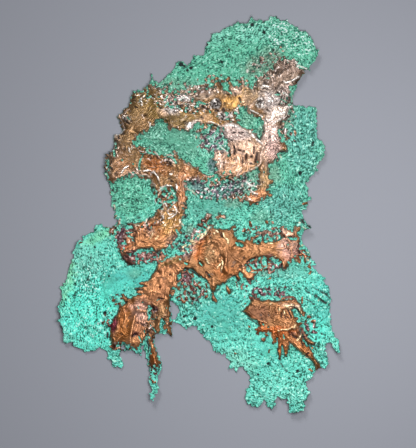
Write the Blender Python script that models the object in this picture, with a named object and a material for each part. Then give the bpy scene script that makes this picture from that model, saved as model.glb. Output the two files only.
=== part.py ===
"""Copper splash: poured copper set in a thin lobed sheet, with bare runs of metal over a granular crust.

Metres, +Z up. The splash lies on its underside, its long side along Y. The origin is on the underside,
in the middle of the splash's bounding box.
"""

import math
import random

import bmesh
import bpy
import numpy as np
from mathutils import Vector, noise
from mathutils.geometry import delaunay_2d_cdt

# Driving dimensions
SPLASH_LENGTH = 0.280
CRUST_THICKNESS = 0.0030
RIM_THICKNESS = 0.0015
RIM_WIDTH = 0.0050
RUN_HEIGHT = 0.0020
RUN_SHOULDER = (-0.0010, 0.0016)
SWELL_HEIGHT = 0.0016
SWELL_LENGTH = 0.032
LUMP_HEIGHT = 0.0008
LUMP_LENGTH = 0.0065
LUMPS_LEFT_ON_RUNS = 0.4
LUMPS_LEFT_AT_RIM = 0.35

# Net that the surfaces are filled from: steps in metres, and shares of a step
TOP_STEP = 0.0038
TOP_ROOM = 0.62
UNDERSIDE_STEP = 0.0140
UNDERSIDE_ROOM = 0.5
POINT_SHAKE = 0.22
SEED = 7

# Longest stretch and least room between points, in plan units, along the runs, the ridges and the edge
RUN_STEP = 5.0
RUN_SIDE = 2.2
RUN_ROOM = 2.1
RIDGE_STEP = 4.5
RIDGE_ROOM = 1.4
RIDGE_SIDE_ROOM = 1.8
ROUND_ROOM = 0.9
RING_ROOM = 1.4
RING_POINTS = 6
EDGE_ROOM = 1.3

# Colour, roughness and metal of the whole surface: mostly green crust
CRUST_GREEN = (0.10, 0.52, 0.40, 1.0)
CRUST_ROUGHNESS = 0.8
CRUST_METALLIC = 0.1

# Plan of the splash seen from above, clockwise from the small spike at the upper left.
# Plan units run right and down, and the plan's height is the splash's length.
CROWN = [
    (152, 72.5), (154, 79), (158, 82.5), (163, 78.5), (167, 73.5), (171, 72.5), (174, 66), (178, 60.5),
    (182, 60), (187.5, 64.5), (191, 61.5), (194, 56), (203, 54), (204, 47), (209, 40), (211, 34),
    (219, 31.5), (223, 27.5), (231, 25.5), (236, 22), (246, 22.5), (250, 20), (251.5, 16), (255, 19.5),
    (266, 21.5), (269, 17.5), (273, 15.3), (277, 16.5), (280, 19.5), (287, 19.5), (291, 23.5), (298, 27),
    (302, 31), (306, 29.5), (309, 35.5), (314, 41), (316, 48), (319.5, 50.5), (318.5, 56), (316, 62),
    (311, 66.5), (310, 71.5), (306, 70.5), (303.5, 76),
]
RIGHT_FLANK = [
    (299, 82.5), (298, 87), (295.5, 92), (293.5, 99), (294.5, 104.5), (300, 105), (303, 104), (307, 107),
    (311, 105), (317, 106.5), (317.5, 118), (316.5, 127), (318, 134), (318, 137.5), (323.5, 141.5),
    (325.5, 146), (324.5, 151.5), (326, 155.5), (322, 158), (320.5, 163), (317, 166.5), (319, 171.5),
    (315.5, 172), (315.5, 175), (311.5, 177.5), (306.5, 182.5), (309.5, 188.5), (309, 195), (311.5, 198.5),
    (307.5, 203), (307.5, 207.5), (303, 211.5), (304.5, 218.5), (308, 223), (312.5, 227), (311, 229.5),
    (305.5, 230.5), (302, 237.5), (303.5, 244), (307.5, 247), (310, 252), (312, 258), (317, 263.5),
]
RIGHT_HIP = [
    (313, 266), (317, 270.5), (323, 275), (327.5, 278.5), (325, 281), (329, 286.5), (331, 294),
    (332.5, 299.5), (329.5, 304), (331, 312), (331.5, 322), (333, 330), (335, 336), (339.5, 341),
    (341, 353.5), (339, 354), (333.5, 350.5), (331.5, 345), (328.5, 342), (325.5, 345.5), (325.5, 350.5),
    (328, 355), (329.5, 362), (327.5, 368), (323, 369), (317.5, 370), (314, 375), (312.5, 379),
    (307, 381.5),
]
RIGHT_FOOT = [
    (308, 386), (310, 393), (308, 398), (305, 400.5), (305.5, 407.5), (303, 410.5), (298.5, 413),
    (290, 413.7), (288, 408), (286.5, 399.5), (282, 400.5), (278.5, 397.5), (275.5, 402), (275, 408),
    (271.5, 410), (266.5, 405.5), (264, 400.5), (260.5, 407), (257, 408.5), (251, 405), (246, 403.5),
    (243.5, 398), (246, 390), (249, 384), (248.5, 376), (244.5, 371), (243, 368), (239.5, 368.5),
    (236.5, 374), (233.5, 369), (228, 369), (229, 362), (225.5, 358.5), (224.5, 354),
]
CROTCH = [
    (216, 353.5), (210.5, 345.5), (209, 341.5), (205.5, 341.5), (203, 335.5), (198.5, 331), (195.5, 325.5),
    (191.5, 326), (187, 329), (182.5, 328), (178.5, 324.5), (173.5, 323), (171, 326), (174, 334.5),
    (171.5, 338), (168, 334.5), (157, 335), (154, 339.5),
]
DRIP = [
    (157, 349), (160, 357), (163, 363.5), (162.5, 369), (159.5, 375.5), (158.5, 383), (160.5, 388),
    (155.5, 395), (153, 401.5), (149.5, 399), (149.5, 394), (151, 390), (149, 385), (147.5, 379.5),
    (149.5, 375), (148.5, 366.5), (147, 359), (144.8, 356.5), (143.5, 346.5), (142.2, 346.5), (141, 355.5),
    (137.5, 354),
]
LEFT_FOOT = [
    (132, 351), (121.5, 351), (121, 358), (124, 362), (123.5, 368), (121, 370), (117, 367), (112, 368),
    (110.5, 361), (107.5, 358), (106, 352), (100, 348.5), (95.5, 352), (83.5, 352.5), (81, 349.5),
    (75, 348), (72.5, 343.5), (65, 344), (62, 340.5), (63, 332), (60.5, 324),
]
LEFT_LOBE = [
    (57.5, 320.5), (59.5, 316), (58, 306), (61.5, 297), (60, 288), (65.5, 281.5), (66.5, 273), (69, 264.5),
    (73.5, 257.5), (73, 252), (75, 244.5), (78, 240), (82, 240), (83, 235.5), (90, 231.5), (93, 231),
    (93, 227.5), (98, 223.5), (102, 222.5), (104.5, 225.5), (109, 225.5), (112, 227),
]
LEFT_SHOULDER = [
    (117, 221), (113.5, 217), (115, 211.5), (110.5, 204), (111, 197), (110, 188), (108.5, 182),
    (105, 177.5), (104, 168), (105, 161), (105.5, 154.5), (111.5, 151), (113.5, 144), (112, 138.5),
    (116, 134), (121, 132), (121, 126), (116.8, 116), (122, 111.5), (128, 105.5), (129, 98.5), (132, 91),
    (143, 90), (147, 84.5), (150, 80.5), (150, 74),
]

# Holes right through the sheet
HOLES = {
    "window": [
        (171, 302), (174, 303.5), (178.5, 307), (178, 312.5), (175, 318.5), (172.5, 318.5), (171, 311),
    ],
    "eyelet": [
        (122.5, 344.5), (124.8, 347.5), (124, 350), (122, 347.5),
    ],
}

# Runs of bare copper that stand proud of the crust. The sheet's edge ends the upper run on the left
FLOWS = {
    "upper": [
        (128, 92), (136, 92), (146, 88), (150, 82), (156, 87), (165, 91), (174, 94), (186, 92), (200, 88),
        (210, 87.5), (214, 88), (216, 80), (219.5, 84), (224, 90), (231, 96), (229.5, 82), (233, 87),
        (240, 88), (242, 78), (245, 85), (255, 88), (257, 77), (261, 79), (264, 77), (270, 74), (272, 68),
        (274, 64), (279, 60), (284, 57), (291, 60), (295, 61), (298, 66), (303, 70), (308, 73), (304, 82),
        (299, 84), (295, 85), (290, 88), (290, 96), (289.5, 103), (294, 106), (291, 110), (288, 114),
        (290, 118), (286, 120), (281, 122), (279, 130), (280, 137), (284, 142), (287, 148), (287, 150.5),
        (279, 151.5), (278, 155), (276, 160), (269, 165), (268, 172), (270, 178), (274, 181),
        (273.5, 184.5), (270, 185), (267, 190), (271, 195), (266, 196), (261, 199.5), (255, 203),
        (251, 204), (246, 201), (241, 201), (244, 197), (252, 192), (257, 188), (258, 183), (257, 177),
        (259, 172), (257, 168), (252, 170), (246, 174.5), (240, 177), (233, 180.5), (228, 181), (222, 178),
        (216, 173.5), (210, 177), (205, 181.5), (198, 184), (190, 181.5), (186, 183), (186, 191),
        (188, 196), (186, 201), (184.5, 207), (184, 212), (187, 215), (182, 218), (181, 224), (181, 229),
        (182, 234), (175, 236), (172, 240), (170, 245), (169, 250), (164, 248), (161, 250), (158, 255),
        (155, 251), (152, 247), (146, 249), (141, 248), (137, 250), (132, 254), (124, 254), (122, 251),
        (126, 249), (135, 246), (134, 240), (135, 232), (132, 225), (130, 222), (137, 224.5), (146, 220.5),
        (154, 216), (157, 211.5), (161, 208), (163, 203), (160, 199), (157, 195), (155, 190),
        (151.5, 183.5), (150, 179), (143, 177.5), (135, 176), (124, 177.5), (115, 181), (106, 180),
        (98, 170), (100, 150), (108, 130), (112, 110), (122, 100),
    ],
    "middle": [
        (157, 264), (163, 262), (169, 259), (174, 257), (179, 254), (184, 252), (188, 248), (190, 243),
        (192, 238), (198, 238.5), (204, 236), (207, 230), (209.5, 224.5), (212, 225), (214, 228),
        (221, 229.5), (229, 230), (232, 226), (234, 225), (235, 231), (235.5, 237), (239, 239.5),
        (244, 241.5), (250, 238.5), (253, 243), (259, 245), (264, 241.5), (270, 243), (277, 240),
        (281, 237), (279.5, 231.5), (279, 228), (284, 226), (288, 229.5), (292, 230.5), (296, 226),
        (299.5, 228), (297.5, 233), (300, 241), (299, 247), (303, 249), (309, 255), (311, 260), (307, 261),
        (302, 256), (298, 257), (299, 262), (294, 260), (289, 262), (286, 268.5), (282.5, 269),
        (280.5, 263), (277, 259), (268, 257), (260, 256.5), (252, 260), (247.5, 264), (246, 269),
        (250, 272.5), (259, 271), (256, 275), (250, 280), (245.5, 278.5), (243, 274), (240, 271.5),
        (238.5, 274), (240, 281), (237.5, 280), (236, 275), (231, 276), (224, 283), (217.5, 285),
        (215.5, 290), (212, 291.5), (210, 286), (206, 280), (198, 275), (193, 269), (187, 268.5),
        (182, 271.5), (177.5, 275.5), (178, 281), (182, 284), (180, 288), (171, 289), (170, 296),
        (171, 312), (171.5, 318), (170, 321), (173, 324), (176, 330), (175, 340), (168, 340), (167, 333),
        (165.5, 325), (165, 320), (162, 320), (160, 326), (159, 340), (154, 339), (156, 349), (158, 356),
        (160.5, 362), (159, 367), (155, 368.5), (150, 366), (148, 362), (149, 356), (151, 351), (150, 344),
        (149, 340), (147, 334.5), (144, 340), (140, 345), (137, 350), (131, 344.5), (127, 346),
        (120, 341.5), (116, 346), (112, 344), (110.5, 337), (110, 330), (111.5, 323), (113.5, 318.5),
        (117, 315), (118.5, 310), (121, 306.5), (126, 305), (127, 301.5), (122, 299), (123, 294),
        (127, 298), (131, 299), (134, 296), (144, 294), (134, 291.5), (143, 290), (135, 288), (146, 286),
        (139, 283), (147, 281), (150.5, 278.5), (152.5, 274.5), (156, 272), (156.5, 268),
    ],
    "foot": [
        (243, 311), (245.5, 307.5), (250, 303.5), (252, 298), (256, 297.5), (262, 300.5), (268, 299.5),
        (276, 301.5), (284, 300), (295, 299), (300, 303.5), (303, 310), (305, 315), (303, 318.5),
        (300.5, 316), (298.5, 311), (294.5, 307.5), (291, 310), (294, 316), (298, 322.5), (300.5, 328),
        (301, 334), (306, 344), (311.5, 350), (313.5, 356), (318.5, 363), (322, 372), (317, 371),
        (312.5, 361), (306, 356), (299.5, 351), (294, 346), (289, 342), (288, 350), (286.5, 356),
        (284, 356), (283.5, 347), (282, 344), (281, 352), (279.5, 358.5), (277.5, 349), (278, 340),
        (276.5, 335), (276, 342.5), (273, 343), (272, 336), (268, 331.5), (266, 334), (264, 341),
        (262, 340), (263, 333.5), (256.5, 331), (256, 328.5), (260, 326), (257, 320.5), (250, 317),
    ],
    "hook": [
        (302, 331), (305, 333.5), (309, 339.5), (316, 342.5), (315, 345), (308, 344), (303, 338),
    ],
    "drops": [
        (227, 286), (230, 288.5), (231, 293), (228.5, 293.5), (226, 290),
    ],
    "bead": [
        (212, 293), (214.5, 296), (217.5, 301), (216, 303.5), (212.5, 299),
    ],
    "tube": [
        (202, 220), (207, 215.5), (212, 216), (209, 220), (203, 223),
    ],
    "capsule": [
        (214, 216.5), (220, 214.5), (226, 215), (225, 217.5), (217, 219.5),
    ],
}

# Green islands and inlets inside the runs
ISLANDS = {
    "clump": [
        (240, 106), (246, 108), (250, 112.5), (258, 118), (262.5, 123), (263.5, 130), (261, 138.5),
        (257.5, 138), (255, 132.5), (246, 129), (239, 125), (236, 118), (236.5, 110.5),
    ],
    "heart": [
        (152, 126), (157, 121), (163, 119.5), (167, 123), (170.5, 129.5), (178, 128.5), (188, 132),
        (193, 128), (197, 122.5), (202, 124.5), (213, 126), (221.5, 130.5), (227, 138), (229.5, 146),
        (229, 157), (224, 151.5), (218, 150), (214, 154), (213, 161), (217, 169), (215, 174.5),
        (208, 175.5), (202, 171), (195, 167), (188, 163), (181, 158.5), (175, 152), (168, 156),
        (161, 156.5), (152, 151.5), (143, 148.5), (135, 146), (132, 142), (138, 138), (137.5, 134.5),
        (148, 130),
    ],
    "isle": [
        (160, 190), (165, 187), (171, 187.5), (175, 191), (177, 197), (175.5, 202), (171, 205),
        (165, 202.5), (160.5, 197),
    ],
    "notch": [
        (237, 242), (241, 242.5), (245.5, 246), (241, 247.5), (236.5, 246),
    ],
    "hollow": [
        (147, 307), (151, 305), (152.5, 309), (150, 314), (151.5, 319), (148.5, 320), (147.5, 314),
    ],
}

# Round features, as plan place, radius in plan units, and height in metres
NODULES = [
    (216, 104, 5.5, 0.0022), (226, 116, 5.0, 0.0012), (259, 103, 4.5, 0.0011), (248, 71, 2.6, 0.0014),
    (171, 161.5, 5.0, 0.0010), (127, 119, 4.5, 0.0012), (203, 106, 5.0, 0.0012), (177, 110, 4.5, 0.0010),
    (131, 259, 5.5, 0.0012), (280.5, 156.5, 2.6, 0.0010), (292, 317, 3.5, 0.0009),
]
PITS = [
    (252, 25, 2.6, 0.0018), (264, 32.5, 2.4, 0.0018), (182, 65, 3.2, 0.0022), (190, 68.5, 3.0, 0.0018),
    (273, 50, 2.4, 0.0014), (300, 173, 2.6, 0.0016), (195, 318.5, 2.6, 0.0018), (105, 313, 2.6, 0.0016),
    (80.5, 338, 2.8, 0.0016), (75, 284.5, 2.4, 0.0014), (75, 295, 2.4, 0.0014), (145, 116, 2.4, 0.0014),
    (200.5, 263.5, 3.4, 0.0016), (150, 313, 2.6, 0.0022), (292, 238.5, 3.4, 0.0016), (160, 287, 2.0, 0.0012),
    (165, 265.5, 3.0, 0.0010), (257, 394, 2.6, 0.0018), (297.5, 371, 2.4, 0.0014), (235, 151, 3.2, 0.0014),
    (257, 160, 3.4, 0.0014), (246, 158, 2.6, 0.0014), (321, 301, 3.4, 0.0020), (212, 326.5, 2.2, 0.0014),
    (268, 363.5, 2.2, 0.0012), (86, 328, 2.4, 0.0012), (93, 250, 2.4, 0.0012), (297, 60, 2.4, 0.0012),
]

# Narrow features, as plan line, half width in plan units, and height in metres
RIDGES = [
    ([(264, 145), (261.5, 152), (261, 163), (256, 168), (248, 172), (241, 177)], 2.6, 0.0012),
    ([(205, 121), (214, 122.5), (221, 124), (226, 128.5)], 2.4, 0.0009),
    ([(218, 243), (224, 252), (226, 262), (225, 270)], 3.0, 0.0011),
    ([(203, 244), (210, 240), (218, 243)], 3.0, 0.0009),
    ([(138, 309), (133, 322), (130.5, 335), (130, 345)], 2.8, 0.0011),
    ([(120, 173), (125, 166), (133, 165)], 2.2, 0.0008),
    ([(143, 172), (151, 170), (157, 176), (160, 182)], 2.4, 0.0008),
    ([(181, 232), (175, 241)], 2.4, 0.0009),
    ([(163, 214), (172, 209), (180, 213)], 2.6, 0.0009),
    ([(151, 338), (154, 350), (155, 362)], 3.2, 0.0012),
    ([(268, 83), (281, 74), (292, 66)], 4.0, 0.0010),
    ([(284, 103), (277, 112), (268, 121)], 3.6, 0.0012),
    ([(281, 308), (292, 305), (299, 309)], 2.4, 0.0009),
    ([(262, 329), (280, 330), (295, 327)], 2.6, 0.0008),
    ([(284, 334), (297, 345), (309, 355)], 2.6, 0.0010),
]
CREASES = [
    ([(279.5, 358), (281, 363), (284, 369), (287, 372)], 2.0, -0.0014),
    ([(190, 296), (194, 303), (197, 311)], 2.0, -0.0013),
    ([(317, 298), (322, 301), (328, 304)], 2.2, -0.0018),
    ([(301, 221), (305, 225), (309, 229)], 1.8, -0.0012),
    ([(181, 128), (191, 118), (203, 114)], 3.2, -0.0012),
    ([(155, 325), (150, 333), (146, 342)], 2.6, -0.0012),
    ([(186, 234), (181, 244), (176, 252)], 3.4, -0.0010),
]

# Places where the sheet curls up off what it lies on: plan place, reach in plan units, lift in metres
LIFTS = [
    (309, 226, 20, 0.0035), (320, 52, 44, 0.0030), (327, 150, 34, 0.0022), (300, 412, 44, 0.0030),
    (342, 350, 30, 0.0036), (58, 325, 42, 0.0028), (152, 402, 42, 0.0032), (104, 165, 30, 0.0018),
    (152, 70, 22, 0.0014), (246, 14, 30, 0.0016), (72, 244, 24, 0.0018), (242, 404, 26, 0.0016),
]


def outline_loop():
    """The splash's outer edge, in plan units."""
    return (CROWN + RIGHT_FLANK + RIGHT_HIP + RIGHT_FOOT + CROTCH + DRIP + LEFT_FOOT + LEFT_LOBE
            + LEFT_SHOULDER)


OUTLINE = outline_loop()
PLAN_LOW = [min(point[axis] for point in OUTLINE) for axis in (0, 1)]
PLAN_HIGH = [max(point[axis] for point in OUTLINE) for axis in (0, 1)]
PLAN_CENTRE = [(low + high) / 2 for low, high in zip(PLAN_LOW, PLAN_HIGH)]
UNIT = SPLASH_LENGTH / (PLAN_HIGH[1] - PLAN_LOW[1])


def to_metres(point):
    """A plan point in metres, with Y running up the splash."""
    return (point[0] - PLAN_CENTRE[0]) * UNIT, (PLAN_CENTRE[1] - point[1]) * UNIT


def segments(line, closed=True):
    """The start and end points of a line's straight stretches, as two arrays."""
    starts = np.array(line, dtype=float)
    ends = np.roll(starts, -1, axis=0)
    return (starts, ends) if closed else (starts[:-1], ends[:-1])


def distance(points, line, closed=True):
    """How far each plan point is from a line of plan points."""
    starts, ends = segments(line, closed)
    along = ends - starts
    offset = points[:, None, :] - starts[None]
    share = (offset * along).sum(axis=2) / (along ** 2).sum(axis=1)
    nearest = offset - np.clip(share, 0, 1)[..., None] * along
    return np.sqrt((nearest ** 2).sum(axis=2)).min(axis=1)


def inside(points, loop):
    """Whether each plan point is inside a closed loop."""
    starts, ends = segments(loop)
    x, y = points[:, 0, None], points[:, 1, None]
    crosses = (starts[:, 1] > y) != (ends[:, 1] > y)
    rise = np.where(ends[:, 1] == starts[:, 1], 1.0, ends[:, 1] - starts[:, 1])
    at = starts[:, 0] + (y - starts[:, 1]) * (ends[:, 0] - starts[:, 0]) / rise
    return (crosses & (x < at)).sum(axis=1) % 2 == 1


def smooth(low, high, value):
    """0 below low, 1 above high, and a soft step between."""
    share = np.clip((value - low) / (high - low), 0, 1)
    return share * share * (3 - 2 * share)


def on_sheet(points):
    """Whether each plan point is on the sheet: inside its edge and outside its holes."""
    kept = inside(points, OUTLINE)
    for hole in HOLES.values():
        kept &= ~inside(points, hole)
    return kept


def run_depth(points):
    """How far each plan point is inside the bare runs, in metres, and negative on the crust."""
    bare = np.zeros(len(points), dtype=bool)
    edge = np.full(len(points), np.inf)
    for run in FLOWS.values():
        bare |= inside(points, run)
        edge = np.minimum(edge, distance(points, run))
    for island in ISLANDS.values():
        bare &= ~inside(points, island)
        edge = np.minimum(edge, distance(points, island))
    return np.where(bare, edge, -edge) * UNIT


def lift(points):
    """Height of the underside over the plane that the splash lies on."""
    height = np.zeros(len(points))
    for x, y, reach, rise in LIFTS:
        near = 1 - np.hypot(points[:, 0] - x, points[:, 1] - y) / reach
        height = np.maximum(height, rise * smooth(0, 1, near))
    return height


def waves(points, length, seed):
    """Soft noise between about -1 and 1, with waves of the given length in metres."""
    scale = UNIT / length
    return np.array([noise.noise(Vector((x * scale, y * scale, seed))) for x, y in points])


def features(points):
    """Height of the nodules, ridges, pits and creases."""
    height = np.zeros(len(points))
    for x, y, radius, rise in NODULES:
        near = 1 - np.hypot(points[:, 0] - x, points[:, 1] - y) / radius
        height += rise * smooth(0, 0.8, near)
    for x, y, radius, depth in PITS:
        near = 1 - np.hypot(points[:, 0] - x, points[:, 1] - y) / radius
        height -= depth * smooth(0, 1, near)
    for line, half_width, rise in RIDGES + CREASES:
        height += rise * smooth(0, 1, 1 - distance(points, line, closed=False) / half_width)
    return height


def thickness(points):
    """Thickness of the sheet: thin at the rim, lumpy on the crust and raised on the runs."""
    rim = distance(points, OUTLINE)
    for hole in HOLES.values():
        rim = np.minimum(rim, distance(points, hole))
    full = smooth(0, 1, rim * UNIT / RIM_WIDTH) ** 0.5
    raised = smooth(*RUN_SHOULDER, run_depth(points))
    swell = SWELL_HEIGHT * waves(points, SWELL_LENGTH, 1.5)
    lumps = LUMP_HEIGHT * waves(points, LUMP_LENGTH, 4.5) * (1 - (1 - LUMPS_LEFT_ON_RUNS) * raised)
    lumps *= LUMPS_LEFT_AT_RIM + (1 - LUMPS_LEFT_AT_RIM) * full
    relief = CRUST_THICKNESS - RIM_THICKNESS + RUN_HEIGHT * raised + swell + features(points)
    return np.maximum(RIM_THICKNESS + full * relief + lumps, 0.5 * RIM_THICKNESS)


def divided(line, step, closed=True):
    """A line with points added so that no stretch is longer than step."""
    result = []
    starts, ends = segments(line, closed)
    for start, end in zip(starts, ends):
        count = max(1, math.ceil(math.dist(start, end) / step))
        result += [tuple(start + (end - start) * part / count) for part in range(count)]
    return result if closed else result + [tuple(ends[-1])]


def clear_of_edge(points, gap):
    """The points that are on the sheet and at least gap plan units from its edges."""
    at = np.array(points, dtype=float)
    kept = on_sheet(at) & (distance(at, OUTLINE) > gap)
    for hole in HOLES.values():
        kept &= distance(at, hole) > gap
    return kept


class Plan:
    """The flat net of points and edges that the sheet's top is filled from."""

    def __init__(self):
        self.points = []
        self.edges = []

    def line(self, points, closed=True):
        """Adds a line whose stretches stay edges of the net."""
        first = len(self.points)
        self.points += points
        count = len(points)
        last = count if closed else count - 1
        self.edges += [(first + at, first + (at + 1) % count) for at in range(last)]

    def inner_line(self, line, step, closed=True):
        """Adds the stretches of a line that lie clear of the sheet's edges."""
        points = divided(line, step, closed)
        kept = clear_of_edge(points, EDGE_ROOM)
        count = len(points)
        first = len(self.points)
        place = {at: first + order for order, at in enumerate(np.flatnonzero(kept))}
        self.points += [points[at] for at in place]
        for at in place:
            follower = (at + 1) % count
            if follower in place and (closed or follower > at):
                self.edges.append((place[at], place[follower]))

    def spots(self, points, gap):
        """Adds loose points that lie clear of the edges and of the points already there."""
        at = np.array(points, dtype=float)
        at = at[clear_of_edge(at, gap)]
        taken = np.array(self.points)
        room = np.array([np.hypot(*(taken - spot).T).min() > gap for spot in at])
        self.points += [tuple(spot) for spot in at[room]]

    def fill(self):
        """Triangles between all points, on the sheet only."""
        points = [Vector(point) for point in self.points]
        net = delaunay_2d_cdt(points, self.edges, [], 0, 0.02)
        at = np.array([tuple(point) for point in net[0]])
        faces = list(net[2])
        middles = np.array([at[list(face)].mean(axis=0) for face in faces])
        kept = on_sheet(middles)
        return at, [face for face, keep in zip(faces, kept) if keep]


def scattered(step):
    """Points in staggered rows over the whole plan, each shaken out of line."""
    shake = random.Random(SEED)
    points = []
    row_step = step * math.sqrt(3) / 2
    for row in range(int((PLAN_HIGH[1] - PLAN_LOW[1]) / row_step) + 1):
        for column in range(int((PLAN_HIGH[0] - PLAN_LOW[0]) / step) + 1):
            x = PLAN_LOW[0] + (column + 0.5 * (row % 2)) * step
            y = PLAN_LOW[1] + row * row_step
            points.append((x + shake.uniform(-1, 1) * POINT_SHAKE * step,
                           y + shake.uniform(-1, 1) * POINT_SHAKE * step))
    return points


def ring(x, y, radius, count):
    """Points on a circle."""
    return [(x + radius * math.cos(turn * math.tau / count), y + radius * math.sin(turn * math.tau / count))
            for turn in range(count)]


def beside(line, gap, closed):
    """Points on both sides of a line, halfway along each stretch."""
    starts, ends = segments(line, closed)
    points = []
    for start, end in zip(starts, ends):
        along = (end - start) / math.dist(start, end)
        middle = (start + end) / 2
        side = np.array((-along[1], along[0])) * gap
        points += [tuple(middle + side), tuple(middle - side)]
    return points


def top_plan():
    """Net of the top: edge, holes, runs, islands, ridges, round features and the crust between."""
    plan = Plan()
    plan.line(OUTLINE)
    for hole in HOLES.values():
        plan.line(hole)
    for loop in list(FLOWS.values()) + list(ISLANDS.values()):
        plan.inner_line(loop, RUN_STEP)
    for line, half_width, _ in RIDGES + CREASES:
        middle = divided(line, RIDGE_STEP, closed=False)
        plan.spots(middle, RIDGE_ROOM)
        plan.spots(beside(middle, half_width, closed=False), RIDGE_SIDE_ROOM)
    for x, y, radius, _ in NODULES + PITS:
        plan.spots([(x, y)], ROUND_ROOM)
        plan.spots(ring(x, y, radius, RING_POINTS), RING_ROOM)
    for loop in list(FLOWS.values()) + list(ISLANDS.values()):
        plan.spots(beside(divided(loop, RUN_STEP), RUN_SIDE, closed=True), RUN_ROOM)
    plan.spots(scattered(TOP_STEP / UNIT), TOP_ROOM * TOP_STEP / UNIT)
    return plan


def underside_plan():
    """Net of the underside: the same edges, with far fewer points between them."""
    plan = Plan()
    plan.line(OUTLINE)
    for hole in HOLES.values():
        plan.line(hole)
    plan.spots(scattered(UNDERSIDE_STEP / UNIT), UNDERSIDE_ROOM * UNDERSIDE_STEP / UNIT)
    return plan


def add_sheet(mesh, plan, height, upward):
    """Adds a filled net to the mesh, each point at its height."""
    at, faces = plan.fill()
    corners = [mesh.verts.new((*to_metres(point), level)) for point, level in zip(at, height(at))]
    for face in faces:
        order = [corners[corner] for corner in face]
        made = mesh.faces.new(order)
        made.normal_update()
        if (made.normal.z > 0) != upward:
            made.normal_flip()


def splash_mesh():
    """The closed solid: top, underside and the thin wall between them all round."""
    mesh = bmesh.new()
    add_sheet(mesh, top_plan(), lambda at: lift(at) + thickness(at), upward=True)
    rim = [edge for edge in mesh.edges if edge.is_boundary]
    wall = bmesh.ops.extrude_edge_only(mesh, edges=rim)
    low = [part for part in wall["geom"] if isinstance(part, bmesh.types.BMVert)]
    plan_places = np.array([(corner.co.x / UNIT + PLAN_CENTRE[0], PLAN_CENTRE[1] - corner.co.y / UNIT)
                            for corner in low])
    for corner, level in zip(low, lift(plan_places)):
        corner.co.z = level
    add_sheet(mesh, underside_plan(), lift, upward=False)
    bmesh.ops.remove_doubles(mesh, verts=mesh.verts, dist=0.00002)
    loose = [corner for corner in mesh.verts if not corner.link_faces]
    bmesh.ops.delete(mesh, geom=loose, context="VERTS")
    bmesh.ops.triangulate(mesh, faces=mesh.faces)
    bmesh.ops.recalc_face_normals(mesh, faces=mesh.faces)
    return mesh


def crust_material():
    """Green crust, the colour of most of the splash."""
    material = bpy.data.materials.new("verdigris_crust")
    material.use_nodes = True
    shader = material.node_tree.nodes["Principled BSDF"]
    shader.inputs["Base Color"].default_value = CRUST_GREEN
    shader.inputs["Roughness"].default_value = CRUST_ROUGHNESS
    shader.inputs["Metallic"].default_value = CRUST_METALLIC
    return material


def clear_scene():
    """Removes whatever the scene starts with."""
    for thing in list(bpy.data.objects):
        bpy.data.objects.remove(thing, do_unlink=True)


def add_splash():
    """Puts the splash in the scene as one object."""
    mesh = bpy.data.meshes.new("copper_splash")
    solid = splash_mesh()
    solid.to_mesh(mesh)
    solid.free()
    mesh.materials.append(crust_material())
    splash = bpy.data.objects.new("copper_splash", mesh)
    bpy.context.collection.objects.link(splash)


clear_scene()
add_splash()
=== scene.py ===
import math

import bmesh
import bpy
import numpy as np
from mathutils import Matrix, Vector, noise
from mathutils.kdtree import KDTree


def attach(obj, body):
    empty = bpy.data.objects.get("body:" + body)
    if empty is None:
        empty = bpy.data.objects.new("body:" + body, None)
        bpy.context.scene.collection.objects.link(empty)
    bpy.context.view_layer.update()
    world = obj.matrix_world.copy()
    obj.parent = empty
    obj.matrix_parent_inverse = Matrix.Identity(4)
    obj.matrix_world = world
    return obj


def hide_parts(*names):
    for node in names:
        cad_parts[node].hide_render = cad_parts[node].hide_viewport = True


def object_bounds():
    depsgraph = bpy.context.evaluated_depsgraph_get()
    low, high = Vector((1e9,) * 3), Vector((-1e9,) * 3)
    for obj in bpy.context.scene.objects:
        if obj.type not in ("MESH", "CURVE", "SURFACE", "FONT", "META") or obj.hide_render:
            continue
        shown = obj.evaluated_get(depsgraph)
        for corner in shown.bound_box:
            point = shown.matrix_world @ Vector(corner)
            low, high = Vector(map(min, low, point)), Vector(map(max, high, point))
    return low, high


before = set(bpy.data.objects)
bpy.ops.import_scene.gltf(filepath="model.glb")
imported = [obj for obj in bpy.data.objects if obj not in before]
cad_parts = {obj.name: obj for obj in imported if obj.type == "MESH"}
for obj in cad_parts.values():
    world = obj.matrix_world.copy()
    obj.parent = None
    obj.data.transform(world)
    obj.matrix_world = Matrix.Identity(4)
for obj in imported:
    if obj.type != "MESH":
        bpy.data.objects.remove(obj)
cad_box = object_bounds()

# The sheet
# The splash is one sheet of copper that was poured, ran out in lobes and set, about 3 mm thick and thinner
# at its rim. Its fine surface starts as a copy of the sheet's solid, cut into smaller faces and softened.
# Places on it are plan units of about 0.7 mm, x to the right and y down, as in the solid's plan.

PLAN_HEIGHT = 398.4
PLAN_CENTRE = (199.25, 214.5)
UNIT = (cad_box[1][1] - cad_box[0][1]) / PLAN_HEIGHT
TOP, WALL, UNDERSIDE = 0, 1, 2
CRUST_EDGE = 2.1
RUN_EDGE = 1.3
RUN_MARGIN = 2.5
UNDERSIDE_EDGE = 8.0
MERGE_DISTANCE = 0.00001
WALL_SLOPE = 0.02
CUTTING_ROUNDS = 6
SOFTENING_ROUNDS = 5


def plan_places(places):
    """Plan units of an array of places in metres."""
    return np.column_stack((places[:, 0] / UNIT + PLAN_CENTRE[0], PLAN_CENTRE[1] - places[:, 1] / UNIT))


def line_stretches(line, closed):
    """Start and end points of a line's straight stretches."""
    starts = np.array(line, dtype=float)
    ends = np.roll(starts, -1, axis=0)
    return (starts, ends) if closed else (starts[:-1], ends[:-1])


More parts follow.
